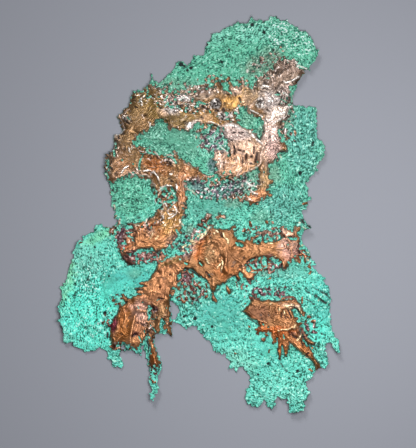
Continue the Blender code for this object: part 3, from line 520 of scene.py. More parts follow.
# Silver and pink are painted reflection on polished copper.
SILVER_SHEEN = (228, 212, 206)
PINK_SHEEN = (230, 200, 188)
MAUVE = (172, 134, 116)
GREY_BROWN = (150, 130, 112)
SMOKE = (112, 104, 116)
UMBER = (150, 116, 76)
PLUM = (112, 78, 88)
MAROON = (92, 22, 40)
PALE_COPPER = (196, 130, 88)
METAL_PATCHES = [
    ((190, 130), (120, 84), 0.0, UMBER, 0.8), ((145, 100), (22, 14), -0.4, OLIVE, 0.9),
    ((165, 112), (26, 12), 0.1, OLIVE, 0.9), ((192, 122), (20, 8), -0.2, OLIVE, 0.9),
    ((200, 94), (24, 7), -0.05, GREY_BROWN, 0.8), ((120, 155), (20, 28), 0.1, UMBER, 1.0),
    ((113, 152), (11, 26), 0.0, GREY_BROWN, 0.6), ((124, 168), (14, 10), 0.2, RUST, 0.4),
    ((136, 110), (16, 12), 0.4, UMBER, 0.6), ((158, 166), (18, 12), 0.2, RUST, 0.6),
    ((153, 163), (10, 7), 0.2, ORANGE, 0.2), ((233, 102), (12, 9), 0.0, GOLD, 1.0),
    ((212, 120), (12, 9), 0.3, GOLD, 0.9), ((184, 98), (8, 5), 0, SILVER_SHEEN, 0.8),
    ((172, 100), (10, 6), 0.3, PINK_SHEEN, 0.7), ((172, 112), (10, 5), 0.0, SILVER_SHEEN, 0.5),
    ((250, 96), (14, 12), 0.0, TAN, 0.9), ((279, 76), (36, 20), -0.6, GREY_BROWN, 1.0),
    ((294, 66), (10, 8), 0.0, PINK_SHEEN, 0.6), ((276, 104), (17, 18), -0.6, SILVER_SHEEN, 0.9),
    ((272, 119), (12, 6), -0.5, SILVER_SHEEN, 0.9), ((192, 126), (8, 5), -0.5, SILVER_SHEEN, 0.9),
    ((236, 133), (18, 10), 0.3, SILVER_SHEEN, 0.9), ((232, 162), (22, 18), -0.2, PEACH, 1.0),
    ((268, 134), (14, 15), 0.5, PINK_SHEEN, 0.9), ((270, 155), (12, 12), 0.0, MAUVE, 0.9),
    ((264, 180), (9, 16), 0.2, TAN, 0.8), ((256, 196), (16, 7), -0.4, PALE_COPPER, 0.7),
    ((184, 183), (8, 22), 0.15, PALE_COPPER, 0.7), ((197, 174), (12, 7), 0.1, BROWN, 0.8),
    ((178, 208), (16, 18), 0.3, PALE_COPPER, 0.5), ((172, 212), (12, 9), 0.0, TAN, 0.6),
    ((168, 229), (25, 12), -1.0, GOLD, 1.0), ((148, 236), (22, 14), 0.1, ORANGE, 0.5),
    ((151, 232), (7, 6), 0.0, GREY_BROWN, 0.8), ((125, 237), (14, 19), 0.0, PLUM, 1.0),
    ((148, 257), (28, 10), 0.0, PLUM, 1.0), ((131, 259), (9, 8), 0.0, MAROON, 0.6),
    ((128, 248), (9, 3.5), -0.3, ORANGE, 0.7), ((200, 248), (8, 14), 0.3, ORANGE, 0.6),
    ((195, 236), (14, 7), -0.6, SILVER_SHEEN, 0.6), ((214, 250), (12, 14), 0.0, TAN, 0.5),
    ((235, 256), (24, 14), -0.2, RUST, 0.4), ((226, 272), (16, 12), 0.4, RUST, 0.7),
    ((264, 250), (30, 10), 0.0, BROWN, 0.5), ((258, 262), (18, 5), -0.5, PLUM, 0.8),
    ((276, 268), (10, 8), 0.0, PLUM, 0.7), ((292, 255), (11, 9), 0.0, ORANGE, 0.5),
    ((306, 257), (6, 6), 0.0, ORANGE, 0.8), ((272, 233), (20, 9), 0.0, MAUVE, 0.8),
    ((290, 233), (12, 8), 0.0, PALE_COPPER, 0.6), ((170, 272), (18, 13), -0.4, PALE_COPPER, 0.8),
    ((172, 261), (14, 4), -0.4, OLIVE, 0.8), ((154, 292), (20, 14), -0.2, PALE_COPPER, 0.8),
    ((184, 276), (10, 8), 0.6, PLUM, 0.9), ((126, 322), (11, 24), 0.25, RUST, 0.9),
    ((140, 318), (15, 22), 0.1, PALE_COPPER, 0.9), ((156, 318), (12, 16), 0.2, TAN, 0.4),
    ((150, 335), (8, 14), -0.3, BROWN, 0.6), ((155, 356), (7, 14), 0.1, RUST, 0.8),
    ((114, 325), (5, 9), 0.2, MAROON, 0.9), ((155, 371), (5, 6), 0.0, MAROON, 0.9),
    ((135, 334), (6, 4), 0.0, MAROON, 0.7), ((154, 309), (6, 4), 0.2, MAROON, 0.7),
    ((262, 312), (18, 12), 0.2, BROWN, 0.8), ((284, 314), (14, 12), 0.0, RUST, 0.4),
    ((255, 322), (12, 6), 0.6, ORANGE, 0.8), ((275, 331), (26, 6), 0.0, ORANGE, 1.0),
    ((284, 342), (14, 14), 0.0, ORANGE, 0.7), ((304, 350), (16, 8), 0.8, RUST, 0.8),
    ((292, 307), (12, 4), 0.1, SILVER_SHEEN, 0.5), ((272, 292), (36, 9), 0.0, PLUM, 1.0),
    ((310, 331), (12, 11), 0.0, PLUM, 0.9), ((246, 284), (22, 6), 0.0, PLUM, 0.7),
    ((216, 142), (18, 15), 0.3, SMOKE, 1.0), ((212, 166), (9, 13), 0.2, SMOKE, 1.0),
    ((198, 187), (15, 9), 0.2, SMOKE, 1.0), ((228, 189), (34, 9), -0.3, SMOKE, 1.0),
    ((286, 112), (12, 28), 0.0, GREY_BROWN, 0.8), ((262, 62), (26, 13), -0.5, GREY_BROWN, 1.0),
    ((192, 292), (22, 15), 0.3, MAROON, 0.5), ((184, 246), (12, 14), 0.0, SMOKE, 0.8),
    ((204, 220), (12, 5), -0.3, MAROON, 0.5), ((172, 241), (8, 12), 0.4, MAUVE, 0.8),
    ((197, 234), (8, 7), -0.4, PINK_SHEEN, 0.9), ((188, 249), (8, 5), -0.4, PINK_SHEEN, 0.7),
    ((178, 88), (32, 9), 0.05, GREY_BROWN, 0.8),
]
UPPER_SHADE = 0.72
LOWER_SHADE = 0.56
BUFF = (250, 206, 178)
BRIGHT_COPPER = (188, 129, 85)
TAUPE = (98, 78, 65)
DARK_OLIVE = (90, 70, 36)
DARK_COPPER = (108, 68, 36)
ROSE = (172, 142, 136)
# Pale silver is a painted highlight.
PALE_SILVER_SHEEN = (236, 206, 194)
DUSKY = (140, 96, 84)
DEEP_COPPER = (84, 48, 22)
DARK_UMBER = (98, 66, 36)
DEEP_RUST = (150, 92, 38)
# Cream is a painted highlight.
CREAM_HIGHLIGHT = (255, 226, 206)
PATCHES_OVER_SHADE = [
    ((242, 147), (18, 9), 0.0, BUFF, 0.72), ((247, 158), (14, 9), 0.0, BUFF, 0.2),
    ((219, 160), (8, 10), 0.0, BUFF, 0.9), ((262, 152), (8, 14), 0.1, BUFF, 0.6),
    ((273, 148), (10, 13), 0.2, ROSE, 0.65), ((233, 133), (16, 8), 0.3, PALE_SILVER_SHEEN, 0.9),
    ((282, 74), (26, 18), -0.6, TAUPE, 0.85), ((120, 160), (14, 22), 0.1, DARK_UMBER, 0.7),
    ((276, 113), (12, 7), -0.4, CREAM_HIGHLIGHT, 0.8), ((177, 120), (16, 8), 0.1, DARK_OLIVE, 0.95),
    ((205, 91), (12, 7), 0.0, TAUPE, 0.9), ((147, 240), (24, 13), 0.1, BRIGHT_COPPER, 0.9),
    ((148, 258), (26, 8), 0.0, DUSKY, 0.7), ((150, 287), (14, 10), -0.2, BRIGHT_COPPER, 0.7),
    ((172, 272), (14, 10), -0.4, BRIGHT_COPPER, 0.6), ((134, 342), (14, 8), 0.0, BRIGHT_COPPER, 0.8),
    ((164, 330), (8, 12), 0.0, BRIGHT_COPPER, 0.9), ((288, 314), (12, 11), 0.0, BRIGHT_COPPER, 0.7),
    ((290, 342), (12, 10), 0.3, BRIGHT_COPPER, 0.6), ((260, 313), (17, 11), 0.1, DEEP_COPPER, 0.95),
    ((232, 258), (14, 9), 0.0, DARK_COPPER, 0.95), ((289, 248), (12, 14), 0.0, ROSE, 0.5),
    ((247, 246), (9, 6), 0.0, BRIGHT_COPPER, 0.6), ((178, 216), (10, 8), 0.0, DARK_COPPER, 0.4),
    ((247, 104), (9, 10), 0.0, BUFF, 0.2), ((289, 231), (8, 6), 0.0, BUFF, 0.4),
    ((289, 91), (8, 9), 0.0, PALE_SILVER_SHEEN, 0.5), ((247, 272), (8, 9), 0.0, BRIGHT_COPPER, 0.8),
    ((128, 175), (16, 6), 0.0, BUFF, 0.2), ((261, 247), (12, 7), 0.0, BRIGHT_COPPER, 0.5),
    ((206, 119), (9, 6), 0.0, BUFF, 0.25), ((219, 245), (10, 9), 0.0, BRIGHT_COPPER, 0.7),
    ((177, 287), (8, 7), 0.0, BRIGHT_COPPER, 0.7), ((261, 259), (12, 5), 0.0, BRIGHT_COPPER, 0.5),
    ((163, 259), (9, 5), 0.0, BRIGHT_COPPER, 0.5), ((149, 343), (7, 9), 0.0, BRIGHT_COPPER, 0.7),
    ((133, 118), (12, 9), 0.0, DARK_OLIVE, 0.35), ((163, 113), (8, 5), 0.2, BUFF, 0.3),
    ((234, 91), (9, 6), 0.0, PALE_SILVER_SHEEN, 0.3), ((141, 312), (13, 13), 0.2, ROSE, 0.4),
    ((112, 322), (5, 10), 0.1, MAROON, 0.9), ((127, 326), (8, 18), 0.25, DEEP_RUST, 0.6),
    ((261, 178), (7, 9), 0.2, DARK_OLIVE, 0.3),
]
FLOWING_METAL = [
    (276, 104, 22, 22, -0.6, 1.0), (232, 162, 26, 20, -0.2, 1.0), (236, 134, 22, 11, 0.3, 1.0),
    (270, 148, 15, 24, 0.2, 0.8), (184, 102, 26, 8, 0.1, 0.8), (148, 236, 24, 15, 0.0, 1.0),
    (170, 229, 22, 9, -1.0, 0.8), (172, 211, 14, 13, 0.0, 0.6), (214, 250, 16, 18, 0.0, 0.5),
    (198, 238, 18, 9, -0.6, 0.8), (284, 314, 15, 14, 0.0, 0.6), (284, 334, 28, 14, 0.0, 0.4),
    (180, 184, 9, 22, 0.1, 0.6), (292, 248, 12, 14, 0.0, 0.7), (248, 188, 18, 9, -0.4, 0.8),
    (222, 116, 24, 9, -0.2, 0.7), (150, 168, 20, 9, 0.2, 0.5),
]


def folds(points):
    """Height of the folds in the metal, about -1 to 1: soft noise whose place is bent by broader noise."""
    bend = 7.0 * np.column_stack((waves(points, 11.0, 31.1), waves(points, 11.0, 37.7)))
    return waves(points + bend, 4.2, 41.3) + 0.6 * waves(points + bend, 1.9, 47.9)


fold = folds(points)
flowing = 0.3 + 0.7 * strongest(points, FLOWING_METAL)
metal_holes = pinholes(points, PINHOLE_SPACING, 97.9)
metal_colour = patched(points, np.tile(painted(BROWN), (len(points), 1)), METAL_PATCHES)
metal_colour *= (LOWER_SHADE + (UPPER_SHADE - LOWER_SHADE) * upper)[:, None]
metal_colour = patched(points, metal_colour, PATCHES_OVER_SHADE)

# Marks in the metal
# Sharp things in the runs, one by one: slots where a fold closed, painted dark as shade, raised threads
# painted pale as highlights, gleams that are painted highlights, dots of crust in the metal and small drops
# of bare metal in the crust. Each is its half width and the points of its line.

SLOT, THREAD, GLEAM, GREEN_DOT, BARE_DROP = "slot", "thread", "gleam", "green_dot", "bare_drop"
MARK_REACH = 24
DOT_LENGTH = 0.4
MARKS = {
    SLOT: [
        (1.5, (125, 121), (129, 124)), (1.2, (131, 121)), (1.2, (145, 115.5)), (1.2, (160, 108)),
        (1.2, (150, 123)), (1.1, (135, 107), (137, 108)), (1.1, (156, 154), (158, 159)),
        (1.2, (171, 181), (173, 182)), (1.3, (178.5, 106.5)), (1.3, (203, 107), (208, 109.5)),
        (1.1, (217, 101), (221, 104)), (1.3, (215, 111), (218, 111)), (1.2, (219.5, 92.5)),
        (1.2, (227, 94), (230, 95)), (1.0, (218, 80), (221, 85)), (1.1, (239, 98), (240.5, 101)),
        (1.3, (223, 109), (224, 111)), (1.1, (221, 118), (222, 120)), (1.0, (213, 125), (219, 128)),
        (1.3, (201, 117), (203, 119)), (1.1, (231.5, 130.5)), (1.1, (232, 133.5), (236, 132.5)),
        (1.1, (239, 132.5), (243, 133)), (1.6, (250, 71), (251, 73)), (1.1, (263, 89), (267, 89)),
        (1.5, (276, 92), (279, 94)), (1.1, (257, 100), (261, 103)), (1.1, (287, 84)), (1.1, (293, 83)),
        (1.1, (296, 82)), (1.6, (231.5, 140.5)), (1.8, (234, 147), (235, 151.5), (234, 155)),
        (1.7, (238, 150), (244, 151.5)), (1.6, (246, 155), (246, 161)), (1.3, (242.5, 158), (242.5, 163)),
        (1.9, (251, 156.5)), (1.9, (250.5, 163.5)), (1.9, (257, 153), (255.5, 162)),
        (1.1, (254, 147), (253.5, 154)), (1.1, (224, 162), (223.5, 168)), (1.2, (215.5, 166)),
        (1.2, (232, 177.5)), (1.0, (223, 146.5), (229, 152)), (1.1, (229, 150), (230, 156)),
        (1.1, (279, 152), (284, 151.5)), (1.2, (256, 134), (258, 139)), (1.2, (115, 228), (118, 222)),
        (1.2, (124, 226)), (1.4, (137, 217.5), (140, 218)), (1.1, (148, 221), (150, 218)),
        (1.8, (147.5, 227), (149.5, 230)), (1.0, (159, 209), (163, 207)), (1.5, (183, 218), (187, 216)),
        (1.5, (122, 258), (126, 262), (132, 265)), (1.4, (176, 242), (177, 245)),
        (1.4, (145, 249), (150, 249)), (1.2, (157, 252), (160, 255)), (1.3, (162, 198), (165, 197)),
        (1.1, (112, 190), (115, 193), (118, 191)), (1.5, (113, 201), (116, 201)),
        (1.0, (213, 248.5), (215, 249)), (1.2, (220, 232), (222, 237)), (0.9, (198, 260), (200, 262)),
        (1.6, (247, 262), (251, 259), (257, 257)), (1.0, (248, 265), (248, 270)),
        (1.2, (206, 272), (210, 277)), (1.0, (228, 279), (231, 275), (236, 276), (239, 281)),
        (1.3, (217, 290), (220, 289)), (1.3, (185, 268), (190, 270), (195, 273), (200, 277)),
        (3.2, (301, 220.5), (305, 223.5), (310.5, 227)), (1.0, (289, 237), (293, 236.5)),
        (1.7, (298, 251), (300, 253)), (0.9, (266, 262), (268, 260), (271, 260), (273, 263)),
        (0.9, (281, 264), (282, 269), (285, 271)), (1.2, (288, 268)), (1.4, (277, 270), (278, 276)),
        (1.1, (141, 323.5), (144, 325.5), (146.5, 323)), (1.1, (137, 322.5)), (1.1, (159.7, 287)),
        (1.2, (170, 274.5)), (1.2, (158, 298), (163, 299)), (1.3, (153, 306), (153.5, 310), (157, 310)),
        (1.1, (150.5, 314)), (1.0, (149, 307)), (2.0, (132, 336), (136, 334)),
        (2.0, (107.5, 333), (107.5, 337)), (1.3, (147, 329), (148, 333)), (1.0, (151, 329), (154, 331)),
        (1.5, (147, 341), (149, 346), (148, 352)), (1.1, (163.5, 319.5)), (1.4, (152, 367), (155, 368.5)),
        (1.3, (156, 371)), (1.0, (160, 366), (158, 372)), (1.0, (190, 296), (194, 303), (197, 311)),
        (1.0, (196, 300), (202, 304)), (0.9, (294, 307), (297, 309), (299, 312)),
        (1.0, (283, 309), (283, 313), (286, 318)), (1.2, (287, 308), (289, 312), (291, 318)),
        (1.1, (287.5, 317)), (0.9, (248, 318), (253, 321), (257, 324)),
        (1.5, (291, 333), (293, 336), (297, 338)), (1.0, (289, 331), (290, 335)),
        (1.2, (301, 341), (303, 345)), (1.1, (306, 354), (309, 353)),
        (1.0, (279.5, 358), (281, 364), (284, 369), (287, 371)),
        (1.4, (316, 295), (319, 299), (323, 302), (327, 303)), (1.0, (308, 292), (318, 297), (326, 303)),
        (0.9, (314, 288), (324, 294)), (1.2, (322, 291), (331, 299)), (1.0, (306, 299), (314, 304)),
        (1.3, (259, 59.5), (261, 62)), (1.2, (220, 222), (223, 225)), (1.1, (281, 313), (281.5, 317)),
        (1.2, (108, 148), (109, 153)), (1.2, (118, 136), (119, 139)),
    ],
    THREAD: [
        (1.0, (142.5, 115), (144, 118)), (1.0, (124, 112), (129, 109.5)),
        (1.0, (154, 102), (160, 101), (163, 103)), (1.1, (117, 113), (121, 120), (124, 128)),
        (1.0, (113, 139), (116, 136)), (1.0, (119, 147), (116, 151), (118, 156)),
        (1.0, (136, 169), (139, 172)), (1.1, (139, 175.5), (146, 174.5), (150, 178)),
        (1.1, (155, 152), (159, 157), (163, 161)), (1.0, (167, 155), (172, 155.5)),
        (1.0, (212, 93), (214, 91), (218, 90)), (1.0, (218, 116), (221, 120)),
        (1.0, (200, 120), (202, 124)), (1.2, (193, 121), (199, 121)), (1.1, (270, 73), (272, 81)),
        (1.0, (281, 75), (280, 78)), (1.0, (285, 60), (284, 64)), (1.2, (242, 78), (244, 85), (247, 87)),
        (1.1, (281, 90), (276, 91), (273, 94), (271, 97)), (1.1, (249, 108), (253, 104), (256, 100)),
        (1.1, (268, 128), (273, 123)),
        (1.2, (264, 146), (261.5, 152), (260, 157), (260.5, 163), (257, 167), (250, 170.5), (245, 174)),
        (1.0, (238, 156), (236, 162), (232, 167)), (1.0, (239, 153), (245, 155)),
        (1.1, (241, 168), (238, 174), (236, 179)), (1.1, (279.5, 155), (281, 158)),
        (1.0, (242, 183), (243, 186)), (1.1, (246, 199.5), (252, 200.5)),
        (1.1, (185, 184), (187.5, 189), (192, 191), (196, 195)), (1.1, (116, 226), (120, 222)),
        (1.2, (127, 242), (131, 236), (135, 230), (138, 226)),
        (1.8, (124, 251), (131, 248.5), (137, 245.5)), (1.2, (170, 228), (176, 226), (181, 226)),
        (1.1, (160, 246), (164, 240), (168, 235), (172, 230)),
        (1.0, (162, 201), (164, 207), (162, 212), (160, 216)), (1.7, (114, 206), (114, 209)),
        (1.0, (172, 262), (176, 264), (179, 267)), (1.5, (158, 266), (165, 261), (172, 258), (178, 256)),
        (0.9, (209, 263), (213, 264.5), (216, 266)),
        (1.0, (207, 243), (211, 241), (216, 241), (219, 244), (220, 249)),
        (1.3, (199, 243), (196, 249), (192, 256), (190, 262)),
        (1.0, (225, 247), (226.5, 254), (226, 262), (224, 268)), (1.0, (206, 277), (209, 282), (211, 288)),
        (1.0, (213, 278), (213, 286)), (1.2, (225, 281), (229, 277), (233, 274.5)),
        (1.0, (226, 287), (229, 290)),
        (1.0, (283, 242), (286, 247.5), (289, 248.5), (291.5, 246), (291.5, 243)),
        (1.0, (286, 236), (287, 240), (291, 242.5), (296, 241.5), (299, 238)),
        (1.1, (291, 250), (292, 254), (290, 258)), (1.0, (297, 241), (294, 246), (291, 249)),
        (1.8, (304, 256), (308, 260)), (1.3, (259, 248), (261, 251), (260, 254)),
        (1.3, (255, 244), (257, 245.5)), (1.2, (262, 258)), (1.0, (273, 258), (276, 256)),
        (1.4, (283, 262), (284, 268)), (1.0, (262, 266), (266, 266), (269, 264.5)),
        (1.5, (131, 345), (131, 335), (133, 325), (135, 316)), (1.6, (118, 326), (117, 331), (114, 335)),
        (1.8, (137, 310), (141, 311), (147, 311)), (1.2, (143, 333), (145, 338)),
        (1.1, (153, 345), (155, 352), (158, 359)),
        (1.2, (251, 317.5), (256, 319), (262, 321), (266, 322.5)), (1.0, (261, 305), (259, 309)),
        (1.0, (282, 318), (286, 322), (290, 321), (292, 318)), (1.1, (288, 326), (291, 322)),
        (1.0, (266, 331), (270, 333), (273, 338), (274, 343)),
        (1.0, (302, 355), (306, 352), (309, 350.5), (311, 353)), (0.9, (305, 357), (309, 357), (311, 353)),
        (1.3, (304, 334), (308, 340), (313, 343)), (1.1, (251, 302), (256, 306)),
        (1.0, (270, 306), (271, 312), (268, 317)), (1.0, (276, 306), (277, 313), (274, 320)),
        (1.6, (296, 346), (301, 351)), (1.5, (193, 248), (199, 242)),
        (1.1, (215, 252), (219, 257), (219, 262)), (1.0, (234, 258), (241, 262), (244, 268)),
        (1.0, (236, 246), (243, 250), (250, 249)), (1.0, (268, 247), (276, 249), (284, 248)),
        (1.0, (270, 253), (278, 252)), (1.1, (150, 281), (156, 277), (163, 276)),
        (1.1, (146, 293), (153, 291), (160, 293)), (1.0, (124, 310), (126, 318), (123, 327)),
    ],
    GLEAM: [
        (1.4, (141, 101), (142, 105)), (1.0, (123.5, 116), (123.2, 118.5)), (1.1, (148.5, 122.5)),
        (1.0, (150.5, 124), (150, 127)), (1.0, (129, 148), (130, 152)),
        (1.0, (116, 134.5), (121, 132), (124, 130)), (1.0, (122, 173), (124, 169), (128, 166.5)),
        (1.0, (131, 177), (134, 174)), (1.0, (144, 171), (150, 170.5), (153, 173)),
        (1.1, (154, 172), (158, 177), (159, 180)), (1.1, (170, 174.5), (172, 174)),
        (1.4, (179, 100), (183, 98), (187, 97.5), (189, 101)), (1.1, (189.5, 105), (190, 109)),
        (1.1, (211, 103), (213, 101), (215.5, 99.5)), (1.0, (210.5, 107), (211, 109)), (1.1, (217.5, 92)),
        (1.1, (209, 92.3)), (1.0, (240, 106), (237, 109), (234, 111)), (1.1, (236, 110), (238, 113)),
        (1.5, (218.5, 113.5), (219, 115)), (1.1, (224, 119), (228, 117), (230, 114.5)),
        (1.1, (231, 115), (233, 118)), (0.9, (208.5, 122), (212, 122.5), (217, 124.5), (222, 127.5)),
        (2.0, (187, 128), (190, 124), (191, 128)),
        (1.7, (225, 127), (229, 124.5), (236, 126), (240, 129.5)), (1.1, (247, 72), (248, 69.5)),
        (1.1, (287, 61)), (1.3, (296, 62), (298, 68)), (1.1, (299, 66), (306, 69)),
        (1.1, (284, 82), (287, 83), (290, 82), (294, 80), (299, 77)),
        (1.1, (261.5, 88), (263, 86), (268, 87)), (1.8, (268, 101), (272, 101)),
        (1.1, (284, 93), (288, 96)), (3.6, (279, 113), (283, 113)), (1.5, (271, 117), (274, 114)),
        (1.1, (273, 124), (277, 121), (281, 119)), (1.1, (250, 110), (254, 112), (258, 114), (262, 117)),
        (1.2, (256, 105), (258, 107)), (1.1, (262, 105), (264, 108)),
        (1.2, (292, 106), (289, 108), (286, 107)), (0.9, (221, 147), (228, 153)),
        (1.0, (246, 181), (250, 185), (258, 187)), (1.0, (251, 190), (254, 193), (257, 194)),
        (1.0, (248, 198), (250, 199)), (1.4, (250, 131), (253, 136), (258, 141), (262, 144)),
        (1.1, (160, 190), (163, 187), (167, 185.5), (171, 186)), (1.2, (176.5, 185), (177, 190)),
        (1.0, (174.5, 206.5), (177, 210), (176, 214), (172, 217), (168, 218.5)),
        (0.9, (173.5, 210.5), (173.5, 213.5), (170, 215), (168, 213), (168.5, 209)),
        (1.6, (163, 216), (164, 218)), (1.2, (163, 222.5)), (1.0, (164, 226), (166, 224)),
        (1.1, (136, 225.5), (139, 225.5)), (1.1, (146, 222), (147, 219)),
        (1.3, (180, 220), (181, 223), (183, 225)), (1.1, (150, 239), (152, 236), (153, 233)),
        (1.0, (156, 239), (158, 236)), (1.6, (209, 227), (206.5, 231), (204.5, 235), (200.5, 237)),
        (2.9, (191.5, 241), (193.5, 243)), (1.2, (188, 247), (190, 245)), (1.4, (183, 251), (187, 252)),
        (1.0, (183, 247), (186, 245)), (0.9, (165, 203), (167, 206)), (1.0, (173, 204), (175, 202)),
        (1.2, (214, 233)), (1.1, (223, 233), (224, 236)), (1.4, (225, 238), (228, 240), (228, 243)),
        (1.3, (216, 230.5), (218, 232)), (1.0, (206, 258), (207, 261), (208.5, 263)),
        (1.0, (217, 268), (219, 265), (221, 263.5)),
        (1.0, (222, 260), (222.5, 264), (221.5, 268), (221, 270)), (1.1, (213.5, 251)),
        (0.9, (302.5, 227), (306, 229.5)), (1.0, (298.5, 222.2)), (1.0, (302, 245)), (1.1, (308, 252)),
        (1.7, (296, 260)), (1.0, (268, 243), (272, 243)), (1.1, (148, 337)),
        (1.2, (284, 305.5), (290, 305), (296, 305.5)), (1.1, (296, 305.5), (299, 308), (301, 313)),
        (1.8, (287, 307), (289, 308.5)), (1.3, (279, 308.5), (279, 310)), (1.1, (284, 311), (284.5, 314)),
        (1.0, (270, 304), (272, 302)), (1.4, (278, 330.5)), (1.0, (281, 329.5), (286, 329)),
        (1.0, (287, 330), (290, 328), (292, 327)), (1.2, (295, 325), (294, 328)),
        (1.2, (297, 340), (299, 338), (301, 335)), (1.2, (318, 300)), (1.4, (198, 236), (203, 234)),
        (1.1, (204, 190), (207, 189)),
    ],
    GREEN_DOT: [
        (1.8, (130.5, 103)), (1.6, (127, 117), (130, 120)), (2.4, (199, 102), (204, 104), (207, 105)),
        (2.2, (195, 107), (196, 109)), (3.6, (178, 107)), (1.4, (185.5, 104)), (1.3, (231, 93.5)),
        (1.8, (222, 84), (227, 90), (230, 92)), (1.5, (240.5, 102)), (1.3, (245, 90)), (2.0, (197, 125)),
        (1.4, (211, 128)), (2.6, (222, 134)), (1.2, (157.5, 106.5)), (1.2, (131, 149.5)),
        (1.5, (133, 164)), (1.9, (122.5, 160)), (2.1, (143, 154), (141, 159), (139.5, 164), (139.5, 169)),
        (2.6, (168, 156), (173, 158), (176, 163)), (2.8, (115, 143), (116, 148)),
        (2.6, (114, 151), (115, 156)), (3.0, (108, 160), (108, 170)), (3.0, (106, 173), (108, 178)),
        (1.2, (287.5, 63)), (1.4, (275, 95), (280, 95)), (1.4, (283, 101), (287, 103)),
        (2.4, (292, 88), (293, 100)), (1.7, (257.5, 162)), (1.5, (216.5, 162)),
        (1.8, (224.5, 172), (223, 174)), (1.5, (230, 171), (231, 174), (226, 178)),
        (2.0, (257, 173), (257, 178)), (1.5, (263.5, 172)), (1.8, (257, 131), (259, 138)),
        (1.2, (278, 156)), (1.9, (116, 231), (119, 227), (123, 222)),
        (1.9, (137, 252), (141, 250), (144, 251)), (1.4, (136, 258), (136.5, 263)), (2.3, (155, 257)),
        (2.4, (163.5, 251), (165, 254)), (1.9, (176.5, 230), (178, 234)), (1.8, (180, 259)),
        (2.8, (171, 251), (176, 248), (180, 244), (182, 238)), (1.6, (171, 256), (174, 255)),
        (1.6, (191, 250)), (1.3, (199.5, 262.5), (202, 265.5)), (1.2, (209, 274), (210, 277)),
        (2.0, (236, 243), (239, 245)), (2.8, (250, 266), (254, 268)), (2.8, (288, 238), (296, 239)),
        (1.7, (288, 244.5)), (1.6, (301, 243), (302, 247)), (1.6, (303, 252), (306, 253)),
        (1.7, (263, 256.5)), (1.4, (268, 262), (272, 262)), (1.7, (277, 261)),
        (2.2, (288, 262), (291, 266)), (1.6, (142.5, 302)), (1.3, (138, 306.5), (139, 308)),
        (1.8, (149, 306), (150, 310), (151, 314), (149, 318)), (1.1, (157, 300), (160, 299)),
        (1.2, (166.5, 307.5)), (1.2, (139, 336), (141, 341)), (1.2, (141, 343), (140.5, 349)),
        (1.4, (153, 328), (156, 331)), (1.3, (151, 353)), (1.5, (163, 320), (162, 326), (161, 332)),
        (1.2, (153, 370)), (1.9, (263, 324)), (1.8, (303, 340), (307, 346)), (1.3, (283, 334), (284, 338)),
        (1.1, (268, 327)), (1.8, (185, 263), (187, 264)), (1.0, (108, 328), (108, 331)),
        (1.2, (125, 241), (126, 244)), (1.3, (147, 261), (150, 260)), (1.2, (185, 276), (187, 278)),
        (1.3, (192, 279), (193, 283)), (1.0, (270, 297), (273, 296)), (2.2, (119, 299), (122, 304)),
    ],
    BARE_DROP: [
        (2.4, (188, 90), (198, 87), (208, 85.5)), (1.9, (250, 222), (250, 226)), (2.6, (266.5, 222)),
        (2.6, (272, 222.5)), (1.7, (264, 231), (268, 232)),
        (1.3, (249, 265.5), (252.5, 270.5), (261, 270.5), (266, 264.5), (273, 263.5)),
        (1.6, (258, 232), (263, 234), (270, 232)), (1.5, (270, 236), (276, 233), (281, 234)),
        (1.5, (269, 350), (269, 353)), (1.9, (282, 298.5), (288, 297), (294, 297)),
        (1.9, (152, 340), (153, 345)), (1.7, (249, 326)), (1.6, (264, 339)), (1.6, (305, 324), (308, 328)),
        (1.5, (302, 297), (302, 303)), (1.6, (282, 292), (283, 295)), (1.5, (277, 295), (280, 297)),
        (2.0, (259, 291), (262, 295)), (1.5, (252, 293), (256, 297)), (1.3, (245, 303)), (1.3, (243, 306)),
        (1.6, (312, 347.5)), (1.7, (309, 369), (312, 371)), (1.3, (235, 353)), (1.4, (270, 194)),
        (1.8, (303, 204), (307, 203)), (1.2, (252, 58)), (1.5, (205, 222), (208, 219)),
        (1.6, (79, 243), (83, 241)), (1.5, (106, 226), (109, 225)), (1.6, (110, 190), (110, 195)),
        (1.6, (116, 216), (114, 218)), (1.4, (236, 282), (237, 287)), (1.3, (206, 284), (207, 288)),
        (1.4, (268, 279), (271, 278)), (1.5, (311, 271), (309, 274)), (1.2, (176, 298), (180, 296)),
        (1.2, (180, 300)),
    ],
}
MARK_STRENGTHS = {SLOT: 1.0, THREAD: 0.7, GLEAM: 0.95}
# Slot tints are painted shade; thread and gleam tints are painted highlights.
UPPER_MARK_COLOURS = {SLOT: (40, 30, 32), THREAD: (236, 208, 190), GLEAM: (255, 248, 240)}
LOWER_MARK_COLOURS = {SLOT: (44, 26, 28), THREAD: (210, 148, 104), GLEAM: (250, 222, 172)}


def marked_places(points, kind):
    """1 on the marks of one kind and 0 beside them. Long marks fade here and there."""
    share = np.zeros(len(points))
    for half_width, *line in MARKS[kind]:
        middle = np.mean(line, axis=0)
        near = np.hypot(*(points - middle).T) < MARK_REACH
        if len(line) == 1:
            line.append((line[0][0] + DOT_LENGTH, line[0][1] + DOT_LENGTH))
        away = distance(points[near], line, closed=False) / half_width
        share[near] = np.maximum(share[near], 1 - smooth(0.2, 1.0, away))
    return share * smooth(-0.75, -0.1, waves(points, 2.6, 61.7))


slots, threads, gleams, dots, drops = (marked_places(points, kind) for kind in MARKS)
depth = np.minimum(depth, MOST_BARE - 8.0 * dots)
depth = np.maximum(depth, MOST_CRUST + 9.0 * drops)
bare = smooth(-0.3, 0.5, depth)

# Nodules
# Blisters swelled in the bare copper where gas came out of it, and stand up to 1 mm proud. Their skins are
# silvery, pitted and half grown over. Each is its x and y, half length, half width and strength.

